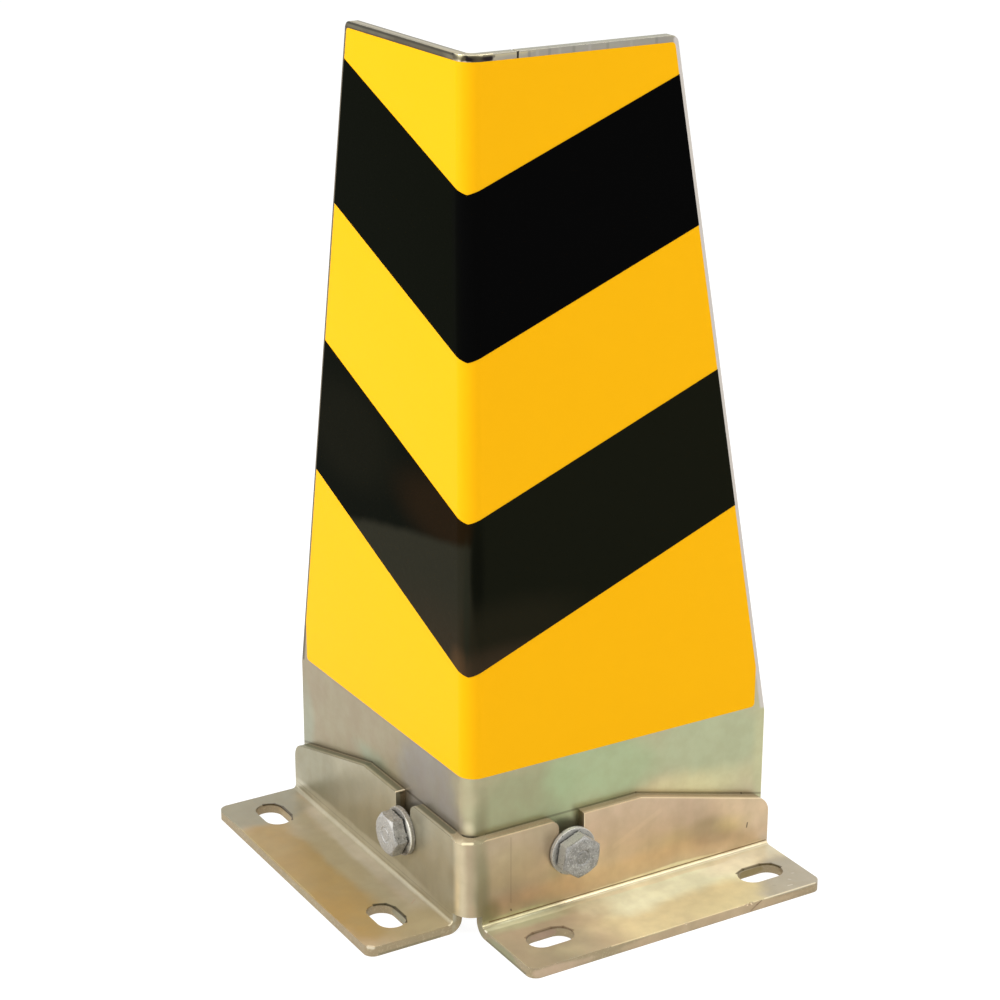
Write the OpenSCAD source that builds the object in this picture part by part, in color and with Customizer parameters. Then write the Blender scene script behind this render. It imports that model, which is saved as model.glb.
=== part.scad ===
// Corner impact guard: a bent steel corner plate with a warning film, bolted to a
// floor bracket. The outer corner of the plate runs up at equal distances from
// both wings: one wing runs along +X, the other is its mirror image along +Y.

/* [Guard plate] */
// Height of the guard plate, from its lower edge to its top edge
guard_h = 400; // [320:5:600]
// Height of the guard plate's lower edge above the floor
guard_lift = 10; // [8:0.5:14]
// Width of each wing at its foot, from the outer corner
wing_foot_w = 168; // [150:1:240]
// Width of each wing at its top edge, from the outer corner
wing_top_w = 106; // [80:1:140]
// Height above the lower edge at which the wings start to taper
taper_start = 66; // [55:1:120]
// Thickness of the guard sheet
guard_t = 5; // [3:0.5:6]
// Inside radius of the guard's bend
guard_bend_r = 3; // [2:0.5:8]
// Radius of the wings' top corners
top_corner_r = 4; // [1:0.5:15]
// Radius of the wings' foot corners
foot_corner_r = 3; // [1:0.5:10]

/* [Warning film] */
// Thickness of the yellow film
film_t = 0.3; // [0.2:0.1:0.5]
// Bare metal left beside the film, measured level
film_side_margin = 2; // [1:0.5:4]
// Bare metal left beside the film at its foot, where its sides run upright
film_foot_side = 6.5; // [6:0.5:12]
// Bare metal left above the film
film_top_margin = 3; // [1:0.5:10]
// Bare metal left below the film, from the height at which the wings start to taper
film_foot_margin = 3.5; // [1:0.5:30]
// Radius of the film's corners
film_corner_r = 2; // [0.5:0.5:10]

/* [Black bands] */
// Thickness of the black bands
band_t = 0.2; // [0.1:0.1:0.5]
// Number of bands
band_count = 2; // [1:1:2]
// Distance from the guard's top to the point of the first band's upper edge
band_drop = 59.5; // [20:0.5:100]
// Upright width of a band
band_w = 73.5; // [30:0.5:80]
// Upright distance from one band to the next
band_pitch = 147.5; // [100:0.5:160]
// Angle at which a band rises away from the outer corner
band_rise = 21.6; // [10:0.1:40]

/* [Base bracket] */
// Thickness of the bracket sheet
bracket_t = 5; // [3:0.5:6]
// Height of the bracket's level top edge above the floor
bracket_h = 50; // [48:0.5:66]
// Height of the bracket's ends above the floor
bracket_end_h = 30; // [22:0.5:44]
// Length of the level top edge, from the guard's outer corner
level_w = 93; // [80:1:120]
// How far the bracket passes the guard's wings
bracket_overhang = 1; // [0:0.5:10]
// Inside radius of the bracket's upright bend
bracket_bend_r = 5; // [2:0.5:5]
// Radius of the bracket's upper end corners
end_corner_r = 9; // [1:0.5:12]
// Height of the bracket's lower edge at the outer corner
relief_h = 11; // [9:0.5:16]
// How far the bend has drawn down the outside of the top edge at the corner
bend_draw = 1.6; // [0.5:0.1:3]

/* [Floor flanges] */
// Distance from the guard's face to the front edge of a flange
flange_reach = 49.5; // [44:0.5:70]
// Inside radius of the bend between wall and flange
flange_bend_r = 2; // [1:0.5:3]
// Radius of the flanges' corners
flange_corner_r = 5; // [1:0.5:8]

/* [Anchor slots] */
// Width of an anchor slot
slot_w = 14; // [9:0.5:16]
// Length of an anchor slot, end to end
slot_len = 24; // [18:0.5:32]
// Distance from a flange's near end to the centre of its first slot
slot_start = 23; // [18:0.5:40]
// Distance from a flange's far end to the centre of its second slot
slot_end = 21; // [18:0.5:40]
// Distance from a flange's front edge to the middle of the slots
slot_edge = 21.5; // [14:0.5:24]

/* [Bolts] */
// Thread diameter
bolt_d = 12; // [8:1:14]
// Distance from the guard's outer corner to the first wing's bolt
first_bolt_inset = 53.7; // [45:0.1:66]
// Distance from the guard's outer corner to the second wing's bolt
second_bolt_inset = 52.3; // [45:0.1:66]
// Height of the bolts above the floor
bolt_z = 33; // [30:0.5:36]
// Width across the flats of head and nut
bolt_af = 19; // [17:0.5:22]
// Height of a bolt head
head_h = 7.5; // [5:0.1:10]
// Height of a nut
nut_h = 10; // [6:0.1:12]
// Thread standing past the nut
bolt_out = 3; // [1:0.5:12]
// Turn of the first wing's bolt and nut
first_bolt_turn = 22; // [0:1:60]
// Turn of the second wing's bolt and nut
second_bolt_turn = 4; // [0:1:60]
// Outer diameter of a washer
washer_od = 24; // [22:0.5:28]
// Thickness of a washer
washer_t = 2.5; // [1.5:0.1:3]
// Play of a bolt in a washer, on the diameter
washer_play = 1; // [0.4:0.1:1.5]
// Play of a bolt in the guard's hole, on the diameter
hole_play = 1.5; // [0.5:0.1:3]
// Play of a bolt in the bracket's notch, on the diameter
notch_play = 2; // [0.5:0.1:3]
// Radius that leads a bolt into the notch, on the side of the outer corner
notch_lead_r = 4.5; // [1:0.5:5]
// Play of a nut on its thread, on the diameter
thread_play = 0.2; // [0.1:0.05:0.4]

/* [Hidden] */
$fn = 64;

ZINC = [0.72, 0.66, 0.50];
BRIGHT_ZINC = [0.66, 0.66, 0.64];
YELLOW = [0.98, 0.78, 0.13];
BLACK = [0.09, 0.09, 0.07];

// Small distance by which cutters pass the faces that they cut
over = 1;
// How far the circle of a rounded corner passes the lines that it joins
tuck = 0.005;
// Depth of the washer face that is turned under a bolt head
washer_face_h = 0.6;
// Share of the width across flats at which head and nut are chamfered, and the chamfer's slope
chamfer_share = 0.95;
chamfer_angle = 30;
// Radius, width and depth of the forging mark in a bolt head
mark_r = 3.4;
mark_w = 0.8;
mark_depth = 0.35;
// Chamfer at the end of a bolt's thread
bolt_end_chamfer = 1.2;

guard_top = guard_lift + guard_h;
guard_corner_r = guard_bend_r + guard_t;
bracket_end = wing_foot_w + bracket_overhang;
wall_foot = bracket_t + flange_bend_r;
flange_near = bracket_bend_r;
notch_w = bolt_d + notch_play;
bolt_front = bracket_t + washer_t;
bolt_back = guard_t + washer_t;
// Distance from the outer corner to the middle of the whole footprint
foot_middle = (bracket_end - flange_reach) / 2;
bolt_insets = [first_bolt_inset, second_bolt_inset];
bolt_turns = [first_bolt_turn, second_bolt_turn];

function unit(v) = v / norm(v);

// Cuts corner p between the points a and b of an outline to a radius. The circle passes
// both lines by the tuck, so that its arc ends on them and not a hair beside them
module round_corner(a, p, b, r) {
    ua = unit(a - p);
    ub = unit(b - p);
    half = acos(ua * ub) / 2;
    inset = r - tuck;
    centre = p + unit(ua + ub) * inset / sin(half);
    ta = p + ua * inset / tan(half);
    tb = p + ub * inset / tan(half);
    out = p - unit(ua + ub) * over;
    difference() {
        polygon([centre, ta, ta + (out - p), out, tb + (out - p), tb]);
        translate(centre) circle(r);
    }
}

// Stands an outline up along the first wing, across the whole part
module upright(reach) {
    translate([0, reach, 0]) rotate([90, 0, 0]) linear_extrude(2 * reach) children();
}

// Keeps what lies within the same outline on both wings
module trim_both_wings(reach) {
    intersection() {
        upright(reach) children();
        mirror([1, -1, 0]) upright(reach) children();
    }
}

// Puts a child on wing number i: 0 is the first wing, 1 its mirror image
module on_wing(i) {
    if (i == 0) children();
    else mirror([1, -1, 0]) children();
}

// Section of a bend of inside radius r in a sheet, in the quarter below and left of its centre
module bend_section(t, r) {
    out_r = r + t;
    intersection() {
        difference() {
            circle(out_r);
            circle(r);
        }
        translate([-out_r, -out_r]) square(out_r);
    }
}

// Section of a sheet bent to a right angle, with its outer corner at the origin
module angle_section(arm, t, r) {
    out_r = r + t;
    translate([out_r, 0]) square([arm - out_r, t]);
    translate([0, out_r]) square([t, arm - out_r]);
    translate([out_r, out_r]) bend_section(t, r);
}

// Puts a child at the bolt of each wing, with +Z pointing out of the wing
module at_bolts() {
    for (i = [0, 1]) on_wing(i)
        translate([bolt_insets[i], 0, bolt_z]) rotate([90, 0, 0]) rotate(bolt_turns[i]) children();
}

// Outline of one wing of the guard, from the lower edge to the top
module wing_outline() {
    low = [0, guard_lift];
    foot = [wing_foot_w, guard_lift];
    kink = [wing_foot_w, guard_lift + taper_start];
    top = [wing_top_w, guard_top];
    high = [0, guard_top];
    difference() {
        polygon([low - [over, 0], foot, kink, top, high - [over, 0]]);
        round_corner(low, foot, kink, foot_corner_r);
        round_corner(kink, top, high, top_corner_r);
    }
}

// Level distance from the outer corner to the wing's tapered edge, and the height at which
// that edge stands at a given distance
taper_rise = (guard_h - taper_start) / (wing_foot_w - wing_top_w);
function taper_w(z) = wing_top_w + (guard_top - z) / taper_rise;
function taper_z(w) = guard_top - (w - wing_top_w) * taper_rise;

// Outline of one wing of the film, which starts above the foot of the taper. Its side runs
// upright at first and then follows the taper
module film_outline() {
    low_z = guard_lift + taper_start + film_foot_margin;
    top_z = guard_top - film_top_margin;
    foot_w = wing_foot_w - film_foot_side;
    low = [-over, low_z];
    foot = [foot_w, low_z];
    kink = [foot_w, taper_z(foot_w + film_side_margin)];
    top = [taper_w(top_z) - film_side_margin, top_z];
    high = [-over, top_z];
    difference() {
        polygon([low, foot, kink, top, high]);
        round_corner(low, foot, kink, film_corner_r);
        round_corner(kink, top, high, film_corner_r);
    }
}

// Outline of one wing of the bracket's wall, from the upright bend to its end
module bracket_outline(inset) {
    foot = [bracket_end, wall_foot];
    top_end = [bracket_end, bracket_end_h];
    kink = [level_w, bracket_h];
    difference() {
        polygon([[flange_near, wall_foot], foot, top_end, kink, [flange_near, bracket_h]]);
        round_corner(foot, top_end, kink, end_corner_r);
        notch_outline(inset);
    }
}

// The open notch that drops over a bolt
module notch_outline(inset) {
    side = inset - notch_w / 2;
    translate([inset, bolt_z]) circle(notch_w / 2);
    translate([side, bolt_z]) square([notch_w, bracket_h - bolt_z + over]);
    round_corner([side, bolt_z], [side, bracket_h], [0, bracket_h], notch_lead_r);
}

// Outline of one flange, seen from above, with its anchor slots
module flange_outline() {
    back = -bracket_t - flange_bend_r;
    near_back = [flange_near, back];
    near_front = [flange_near, -flange_reach];
    far_front = [bracket_end, -flange_reach];
    far_back = [bracket_end, back];
    slot_y = slot_edge - flange_reach;
    difference() {
        polygon([near_back, near_front, far_front, far_back]);
        round_corner(near_back, near_front, far_front, flange_corner_r);
        round_corner(near_front, far_front, far_back, flange_corner_r);
        translate([flange_near + slot_start, slot_y]) slot_outline();
        translate([bracket_end - slot_end, slot_y]) slot_outline();
    }
}

module slot_outline() {
    straight = slot_len - slot_w;
    translate([-straight / 2, -slot_w / 2]) square([straight, slot_w]);
    translate([-straight / 2, 0]) circle(slot_w / 2);
    translate([straight / 2, 0]) circle(slot_w / 2);
}

module guard_plate() {
    color(ZINC) difference() {
        intersection() {
            translate([0, 0, guard_lift]) linear_extrude(guard_h)
                angle_section(wing_foot_w, guard_t, guard_bend_r);
            trim_both_wings(wing_foot_w + over) wing_outline();
        }
        at_bolts() translate([0, 0, -guard_t - over])
            cylinder(d = bolt_d + hole_play, h = guard_t + 2 * over);
    }
}

// A skin on the outside of the guard, its inner face at the given distance
module outer_skin(distance, t) {
    translate([-distance - t, -distance - t, guard_lift]) linear_extrude(guard_h)
        angle_section(wing_foot_w + distance + t, t, guard_corner_r + distance);
}

module warning_film() {
    color(YELLOW) intersection() {
        outer_skin(0, film_t);
        trim_both_wings(wing_foot_w + over) film_outline();
    }
}

// Outline of one band on one wing
module band_outline(top_z) {
    start = -guard_corner_r;
    low_z = top_z - band_w;
    rise = tan(band_rise);
    function edge(x, z) = [x, z + x * rise];
    polygon([
        edge(start, low_z), edge(wing_foot_w, low_z),
        edge(wing_foot_w, top_z), edge(start, top_z)
    ]);
}

module black_bands() {
    reach = wing_foot_w + over;
    color(BLACK) for (wing = [0, 1]) on_wing(wing) intersection() {
        outer_skin(film_t, band_t);
        trim_both_wings(reach) film_outline();
        upright(reach) for (i = [0 : band_count - 1])
            band_outline(guard_top - band_drop - i * band_pitch);
        linear_extrude(guard_top + over)
            polygon([[-reach, -reach], [reach, -reach], [reach, reach]]);
    }
}

// One wing of the bracket: wall, bend and flange of one folded sheet
module bracket_wing(inset) {
    rotate([90, 0, 0]) linear_extrude(bracket_t) bracket_outline(inset);
    translate([flange_near, -wall_foot, wall_foot]) rotate([90, 0, 90])
        linear_extrude(bracket_end - flange_near)
            mirror([1, 0]) bend_section(bracket_t, flange_bend_r);
    linear_extrude(bracket_t) flange_outline();
}

// Draws the top edge down towards the outside where the sheet is bent
module bend_draw_cut() {
    inner_mid = bracket_bend_r * (1 - cos(45));
    reach = 4 * (bracket_bend_r + bracket_t);
    translate([inner_mid, inner_mid, bracket_h]) rotate([0, 0, -135])
        rotate([0, atan(bend_draw / bracket_t), 0])
            translate([0, -reach / 2, 0]) cube([reach, reach, bracket_h]);
}

module base_bracket() {
    color(ZINC) difference() {
        union() {
            for (i = [0, 1]) on_wing(i) bracket_wing(bolt_insets[i]);
            translate([bracket_bend_r, bracket_bend_r, relief_h])
                linear_extrude(bracket_h - relief_h) bend_section(bracket_t, bracket_bend_r);
        }
        bend_draw_cut();
    }
}

// Hexagon prism with its corners chamfered at the top, and at the bottom too if asked
module chamfered_hexagon(h, both_ends) {
    flat_r = bolt_af / 2;
    face_r = flat_r * chamfer_share;
    wide_r = flat_r / cos(30) + over;
    fall = (wide_r - face_r) * tan(chamfer_angle);
    intersection() {
        cylinder(r = flat_r / cos(30), h = h, $fn = 6);
        rotate_extrude() polygon([
            [0, 0], [both_ends ? face_r : wide_r, 0],
            [wide_r, both_ends ? fall : 0], [wide_r, h - fall], [face_r, h], [0, h]
        ]);
    }
}

module bolt_head() {
    face_r = bolt_af / 2 * chamfer_share;
    cylinder(r = face_r, h = washer_face_h);
    translate([0, 0, washer_face_h]) difference() {
        chamfered_hexagon(head_h - washer_face_h, false);
        translate([0, 0, head_h - washer_face_h]) rotate_extrude()
            translate([mark_r - mark_w / 2, -mark_depth]) square([mark_w, mark_depth + over]);
    }
}

module hex_bolts() {
    tail = bolt_back + nut_h + bolt_out;
    color(BRIGHT_ZINC) at_bolts() {
        translate([0, 0, bolt_front]) bolt_head();
        rotate_extrude() polygon([
            [0, -tail], [bolt_d / 2 - bolt_end_chamfer, -tail],
            [bolt_d / 2, bolt_end_chamfer - tail], [bolt_d / 2, bolt_front], [0, bolt_front]
        ]);
    }
}

module washer() {
    difference() {
        cylinder(d = washer_od, h = washer_t);
        translate([0, 0, -over]) cylinder(d = bolt_d + washer_play, h = washer_t + 2 * over);
    }
}

module flat_washers() {
    color(BRIGHT_ZINC) at_bolts() {
        translate([0, 0, bracket_t]) washer();
        translate([0, 0, -guard_t - washer_t]) washer();
    }
}

module hex_nuts() {
    color(BRIGHT_ZINC) at_bolts() translate([0, 0, -bolt_back - nut_h]) difference() {
        chamfered_hexagon(nut_h, true);
        translate([0, 0, -over]) cylinder(d = bolt_d + thread_play, h = nut_h + 2 * over);
    }
}

// Puts the middle of the footprint at the origin
module placed() {
    translate([-foot_middle, -foot_middle, 0]) children();
}

placed() guard_plate();
placed() warning_film();
placed() black_bands();
placed() base_bracket();
placed() hex_bolts();
placed() flat_washers();
placed() hex_nuts();
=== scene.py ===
"""Looks of a corner impact guard: chromated sheets, warning film, printed bands and zinc fasteners.

The guard stands with its outer corner towards the camera. One wing runs along +X, the other
along +Y. Places on it are given in wing coordinates: how far along the wing from the outer
corner, how far out from the guard's face, and how high above the floor, in millimetres.
"""

import logging
import math
from collections.abc import Callable, Iterator
from contextlib import contextmanager
from dataclasses import dataclass
from enum import Enum

import bmesh
import bpy
from mathutils import Matrix, Vector


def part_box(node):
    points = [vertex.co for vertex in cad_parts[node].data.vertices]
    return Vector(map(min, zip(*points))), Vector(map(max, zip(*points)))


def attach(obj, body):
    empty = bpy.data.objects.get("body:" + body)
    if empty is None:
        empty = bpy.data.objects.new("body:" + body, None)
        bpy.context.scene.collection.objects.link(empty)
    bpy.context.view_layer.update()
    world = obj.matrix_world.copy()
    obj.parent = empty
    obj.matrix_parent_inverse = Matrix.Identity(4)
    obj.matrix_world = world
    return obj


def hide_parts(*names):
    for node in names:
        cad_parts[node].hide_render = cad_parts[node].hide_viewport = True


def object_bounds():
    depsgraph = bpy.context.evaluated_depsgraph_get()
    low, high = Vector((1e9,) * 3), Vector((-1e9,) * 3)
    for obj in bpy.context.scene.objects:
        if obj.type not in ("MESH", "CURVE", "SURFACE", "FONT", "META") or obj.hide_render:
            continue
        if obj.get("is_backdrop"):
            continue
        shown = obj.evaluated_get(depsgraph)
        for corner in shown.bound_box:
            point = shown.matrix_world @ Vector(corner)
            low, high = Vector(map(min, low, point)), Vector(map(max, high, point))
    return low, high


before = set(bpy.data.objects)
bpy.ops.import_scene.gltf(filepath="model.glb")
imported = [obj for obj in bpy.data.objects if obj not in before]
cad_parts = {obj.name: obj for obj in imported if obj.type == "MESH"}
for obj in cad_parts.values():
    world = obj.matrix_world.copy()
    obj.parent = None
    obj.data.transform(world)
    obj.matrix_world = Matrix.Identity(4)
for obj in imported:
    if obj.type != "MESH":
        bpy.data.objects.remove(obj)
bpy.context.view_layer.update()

MM = 0.001
BODY = "root"
WHITE = (1.0, 1.0, 1.0, 1.0)
Colour = tuple[float, float, float, float]
Point = tuple[float, float, float]
Piece = bpy.types.Object
Material = bpy.types.Material
Socket = bpy.types.NodeSocket
Node = bpy.types.Node
Tree = bpy.types.NodeTree
Inputs = dict[int | str, object]

log = logging.getLogger("corner_guard")


def tint(code: str) -> Colour:
    """Turns a colour written as six hexadecimal digits into the linear colour of the shaders.

    Args:
        code: The colour as it is seen, such as "f9be14".

    Returns:
        Red, green, blue and an alpha of 1.
    """
    seen = [int(code[i : i + 2], 16) / 255 for i in (0, 2, 4)]
    linear = [s / 12.92 if s <= 0.04045 else ((s + 0.055) / 1.055) ** 2.4 for s in seen]
    return (linear[0], linear[1], linear[2], 1.0)


class Wing(Enum):
    """The two wings of the guard, by the axis that each runs along."""

    FIRST = "x"
    SECOND = "y"


FIRST, SECOND = Wing


@dataclass(frozen=True)
class Site:
    """Where the guard stands in the frame.

    Attributes:
        corner_x: Place of the guard's face on the second wing, in metres.
        corner_y: Place of the guard's face on the first wing, in metres.
    """

    corner_x: float
    corner_y: float

    @classmethod
    def from_frame(cls) -> "Site":
        """Reads the outer corner from the guard plate's box."""
        low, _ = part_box("guard_plate")
        return cls(low.x, low.y)

    def point(self, wing: Wing, along: float, out: float, height: float) -> Vector:
        """Turns wing coordinates in millimetres into a point of the frame.

        Args:
            wing: The wing that the place is on.
            along: Distance from the outer corner.
            out: Distance from the guard's face, outwards.
            height: Distance from the floor.

        Returns:
            The point, in metres.
        """
        if wing is FIRST:
            return Vector((self.corner_x + along * MM, self.corner_y - out * MM, height * MM))
        return Vector((self.corner_x - out * MM, self.corner_y + along * MM, height * MM))

    def local(self, wing: Wing, point: Vector) -> Vector:
        """Turns a point of the frame into a wing's coordinates in millimetres.

        Args:
            wing: The wing whose coordinates are wanted.
            point: The point, in metres.

        Returns:
            Its distance along the wing, outwards and in height.
        """
        across = Vector((point.x - self.corner_x, point.y - self.corner_y))
        along, inwards = across if wing is FIRST else across.yx
        return Vector((along, -inwards, point.z)) / MM

    def reach(self, wing: Wing, along: float, out: float, height: float) -> Vector:
        """Gives half sizes along a wing, out of it and upwards as half sizes of the frame."""
        sizes = (along, out, height) if wing is FIRST else (out, along, height)
        return Vector(sizes) * MM

    def solids_on(self, node: str, wing: Wing) -> list[Vector]:
        """Lists the vertices of a node of fasteners that belong to one wing.

        Args:
            node: The node's name.
            wing: The wing whose fasteners are wanted.

        Returns:
            The vertices in the wing's coordinates.
        """
        vertices = [v.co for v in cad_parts[node].data.vertices]
        chosen = [v for v in vertices if (v.x > v.y) == (wing is FIRST)]
        return [self.local(wing, v) for v in chosen]


class Bench:
    """Blender's operators as short, named steps of work on one piece at a time."""

    @staticmethod
    def take(piece: Piece) -> None:
        """Selects a piece alone and makes it the active one.

        Args:
            piece: The piece to work on.
        """
        bpy.ops.object.select_all(action="DESELECT")
        piece.select_set(True)
        bpy.context.view_layer.objects.active = piece

    @staticmethod
    def started(name: str) -> Piece:
        """Names the piece that was just made and gives it back.

        Args:
            name: The piece's name.

        Returns:
            The piece.
        """
        piece = bpy.context.view_layer.objects.active
        piece.name = piece.data.name = name
        return piece

    @staticmethod
    def upright(
        name: str, sides: int, radii: tuple[float, float], low: float, high: float, turn: float = 0.0
    ) -> Piece:
        """Adds a prism, cylinder or cone that stands on the frame's Z axis.

        Args:
            name: The piece's name.
            sides: Number of its sides.
            radii: Its radius at the foot and at the top in millimetres.
            low: Height of its foot.
            high: Height of its top.
            turn: Its turn about the axis in degrees.

        Returns:
            The piece, with its place in its mesh.
        """
        bpy.ops.object.select_all(action="DESELECT")
        bpy.ops.mesh.primitive_cone_add(
            vertices=sides,
            radius1=radii[0] * MM,
            radius2=radii[1] * MM,
            depth=(high - low) * MM,
            location=(0.0, 0.0, (low + high) / 2 * MM),
            rotation=(0.0, 0.0, math.radians(turn)),
        )
        bpy.ops.object.transform_apply(location=True, rotation=True, scale=True)
        return Bench.started(name)

    @staticmethod
    @contextmanager
    def editing(piece: Piece) -> Iterator[None]:
        """Opens a piece in edit mode with nothing selected, and closes it afterwards.

        Args:
            piece: The piece to edit.
        """
        Bench.take(piece)
        bpy.ops.object.mode_set(mode="EDIT")
        bpy.ops.mesh.select_mode(type="FACE")
        bpy.ops.mesh.select_all(action="DESELECT")
        yield
        bpy.ops.object.mode_set(mode="OBJECT")

    @staticmethod
    def pick_faces(piece: Piece, test: Callable[[bmesh.types.BMFace], bool]) -> None:
        """Selects the faces of a piece in edit mode that pass a test.

        Args:
            piece: The piece that is open in edit mode.
            test: Says whether a face is wanted.
        """
        mesh = bmesh.from_edit_mesh(piece.data)
        for face in mesh.faces:
            if test(face):
                face.select_set(True)
        bmesh.update_edit_mesh(piece.data)

    @staticmethod
    def modify(piece: Piece, kind: str, **settings: object) -> None:
        """Adds a modifier to a piece, sets it and applies it.

        Args:
            piece: The piece to change.
            kind: The modifier's type.
            settings: The modifier's own settings by name.
        """
        Bench.take(piece)
        modifier = piece.modifiers.new(kind.lower(), kind)
        for setting, value in settings.items():
            setattr(modifier, setting, value)
        bpy.ops.object.modifier_apply(modifier=modifier.name)

    @staticmethod
    def bevel(piece: Piece, width: float, segments: int, angle: float, **settings: object) -> None:
        """Rounds the edges of a piece that are sharper than an angle.

        Args:
            piece: The piece to round.
            width: Width of the rounding in millimetres.
            segments: Number of faces across it.
            angle: The angle in degrees.
            settings: The modifier's further settings by name.
        """
        limits = {"limit_method": "ANGLE", "angle_limit": math.radians(angle)}
        Bench.modify(piece, "BEVEL", width=width * MM, segments=segments, **limits, **settings)

    @staticmethod
    def combine(piece: Piece, tool: Piece, operation: str) -> None:
        """Cuts or joins a piece with a tool body, which is then removed."""
        Bench.modify(piece, "BOOLEAN", operation=operation, object=tool, solver="EXACT")
        bpy.data.objects.remove(tool)

    @staticmethod
    def place(piece: Piece, placing: Matrix) -> None:
        """Puts a piece in its place and keeps the place in its mesh.

        Args:
            piece: The piece to move.
            placing: Its place and turn in the frame.
        """
        Bench.take(piece)
        piece.matrix_world = placing
        bpy.ops.object.transform_apply(location=True, rotation=True, scale=True)

    @staticmethod
    def join(pieces: list[Piece], name: str) -> Piece:
        """Joins bodies of one piece under one name.

        Args:
            pieces: The bodies.
            name: Name of the piece.

        Returns:
            The piece.
        """
        bpy.ops.object.select_all(action="DESELECT")
        for piece in pieces:
            piece.select_set(True)
        bpy.context.view_layer.objects.active = pieces[0]
        bpy.ops.object.join()
        return Bench.started(name)

    @staticmethod
    def copy(piece: Piece, name: str) -> Piece:
        """Copies a piece with a mesh of its own.

        Args:
            piece: The piece to copy.
            name: Name of the copy.

        Returns:
            The copy.
        """
        twin = bpy.data.objects.new(name, piece.data.copy())
        bpy.context.scene.collection.objects.link(twin)
        return twin

    @staticmethod
    def tidy(piece: Piece, gap: float) -> None:
        """Merges vertices that lie together, clears stored normals and dissolves flat edges.

        Args:
            piece: The piece to tidy.
            gap: How close vertices lie that are merged, in millimetres.
        """
        with Bench.editing(piece):
            bpy.ops.mesh.select_all(action="SELECT")
            bpy.ops.mesh.remove_doubles(threshold=gap * MM)
            bpy.ops.mesh.customdata_custom_splitnormals_clear()
            bpy.ops.mesh.dissolve_limited(angle_limit=math.radians(0.4))

    @staticmethod
    def merged_copy(node: str, name: str) -> Piece:
        """Copies a node and makes one closed mesh of flat faces from its loose triangles.

        Args:
            node: The node's name.
            name: Name of the copy.

        Returns:
            The copy, at the node's place.
        """
        twin = Bench.copy(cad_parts[node], name)
        Bench.tidy(twin, gap=0.002)
        twin.data.materials.clear()
        return twin

    @staticmethod
    def smooth(piece: Piece, degrees: float = 34.0) -> None:
        """Shades a piece smooth up to an angle and keeps its flat faces flat.

        Args:
            piece: The piece to shade.
            degrees: The angle.
        """
        Bench.take(piece)
        bpy.ops.object.shade_smooth_by_angle(angle=math.radians(degrees))
        Bench.modify(piece, "WEIGHTED_NORMAL", keep_sharp=True)

    @staticmethod
    def finish(piece: Piece, material: Material, slot: str) -> None:
        """Dresses a new piece, fixes it to the guard's body and reports it.

        Args:
            piece: The piece.
            material: Its finish.
            slot: The record's material slot. It is not used.
        """
        piece.data.materials.clear()
        piece.data.materials.append(material)
        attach(piece, BODY)
        log.info("%s: %d faces", piece.name, len(piece.data.polygons))


class Graph:
    """A node tree under construction, with short calls for the nodes that the finishes use."""

    def __init__(self, tree: Tree) -> None:
        """Starts on an emptied tree."""
        tree.nodes.clear()
        self.tree = tree

    def feed(self, node: Node, inputs: Inputs) -> None:
        """Links a node's inputs to other nodes' outputs, or sets their own values.

        Args:
            node: The node that is fed.
            inputs: What each input gets, by its place or name.
        """
        for name, value in inputs.items():
            if isinstance(value, Socket):
                self.tree.links.new(value, node.inputs[name])
            else:
                node.inputs[name].default_value = value

    def node(self, kind: str, inputs: Inputs | None = None, **settings: object) -> Node:
        """Adds a node, sets its own settings and feeds its inputs.

        Args:
            kind: The node's type.
            inputs: What its inputs get, by place or name.
            settings: Its own settings by name.

        Returns:
            The node.
        """
        made = self.tree.nodes.new(kind)
        for setting, value in settings.items():
            setattr(made, setting, value)
        self.feed(made, inputs or {})
        return made

    def math(self, operation: str, *values: object) -> Socket:
        """Adds a Math node and gives its output."""
        return self.node("ShaderNodeMath", dict(enumerate(values)), operation=operation).outputs[0]

    def vector(self, operation: str, *values: object) -> Socket:
        """Adds a Vector Math node and gives the output that its operation fills."""
        made = self.node("ShaderNodeVectorMath", dict(enumerate(values)), operation=operation)
        return made.outputs["Value" if operation in ("LENGTH", "DOT_PRODUCT", "DISTANCE") else "Vector"]

    def scaled(self, vector: object, factor: object) -> Socket:
        """Multiplies a vector by one number."""
        inputs = {0: vector, "Scale": factor}
        return self.node("ShaderNodeVectorMath", inputs, operation="SCALE").outputs[0]

    def mix(self, factor: object, first: object, second: object) -> Socket:
        """Mixes two colours."""
        return self.node("ShaderNodeMix", {0: factor, 6: first, 7: second}, data_type="RGBA").outputs[2]

    def veil(self, ground: object, code: str, mask: object, share: float) -> Socket:
        """Covers a ground with a colour, by a share of a mask."""
        return self.mix(self.math("MULTIPLY", mask, share), ground, tint(code))

    def total(self, start: object, *parts: tuple[object, object]) -> object:
        """Adds shares of several masks to a number.

        Args:
            start: The number that they are added to.
            parts: Each mask and its share.

        Returns:
            The sum.
        """
        for mask, share in parts:
            start = self.math("MULTIPLY_ADD", mask, share, start)
        return start

    def step(self, value: object, start: object, end: object) -> Socket:
        """Rises smoothly from 0 to 1 while a value goes from start to end."""
        inputs = {"Value": value, "From Min": start, "From Max": end}
        return self.node("ShaderNodeMapRange", inputs, interpolation_type="SMOOTHSTEP").outputs[0]

    def noise(self, place: object, scale: object, seed: object, detail: float) -> Node:
        """Adds a noise that a seed varies, over a place in metres."""
        inputs = {"Vector": place, "W": seed, "Scale": scale, "Detail": detail}
        return self.node("ShaderNodeTexNoise", inputs, noise_dimensions="4D")

    def group(self, tree: Tree, **values: object) -> Socket:
        """Places a shader node group and gives its one output."""
        return self.node("ShaderNodeGroup", values, node_tree=tree).outputs[0]


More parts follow.
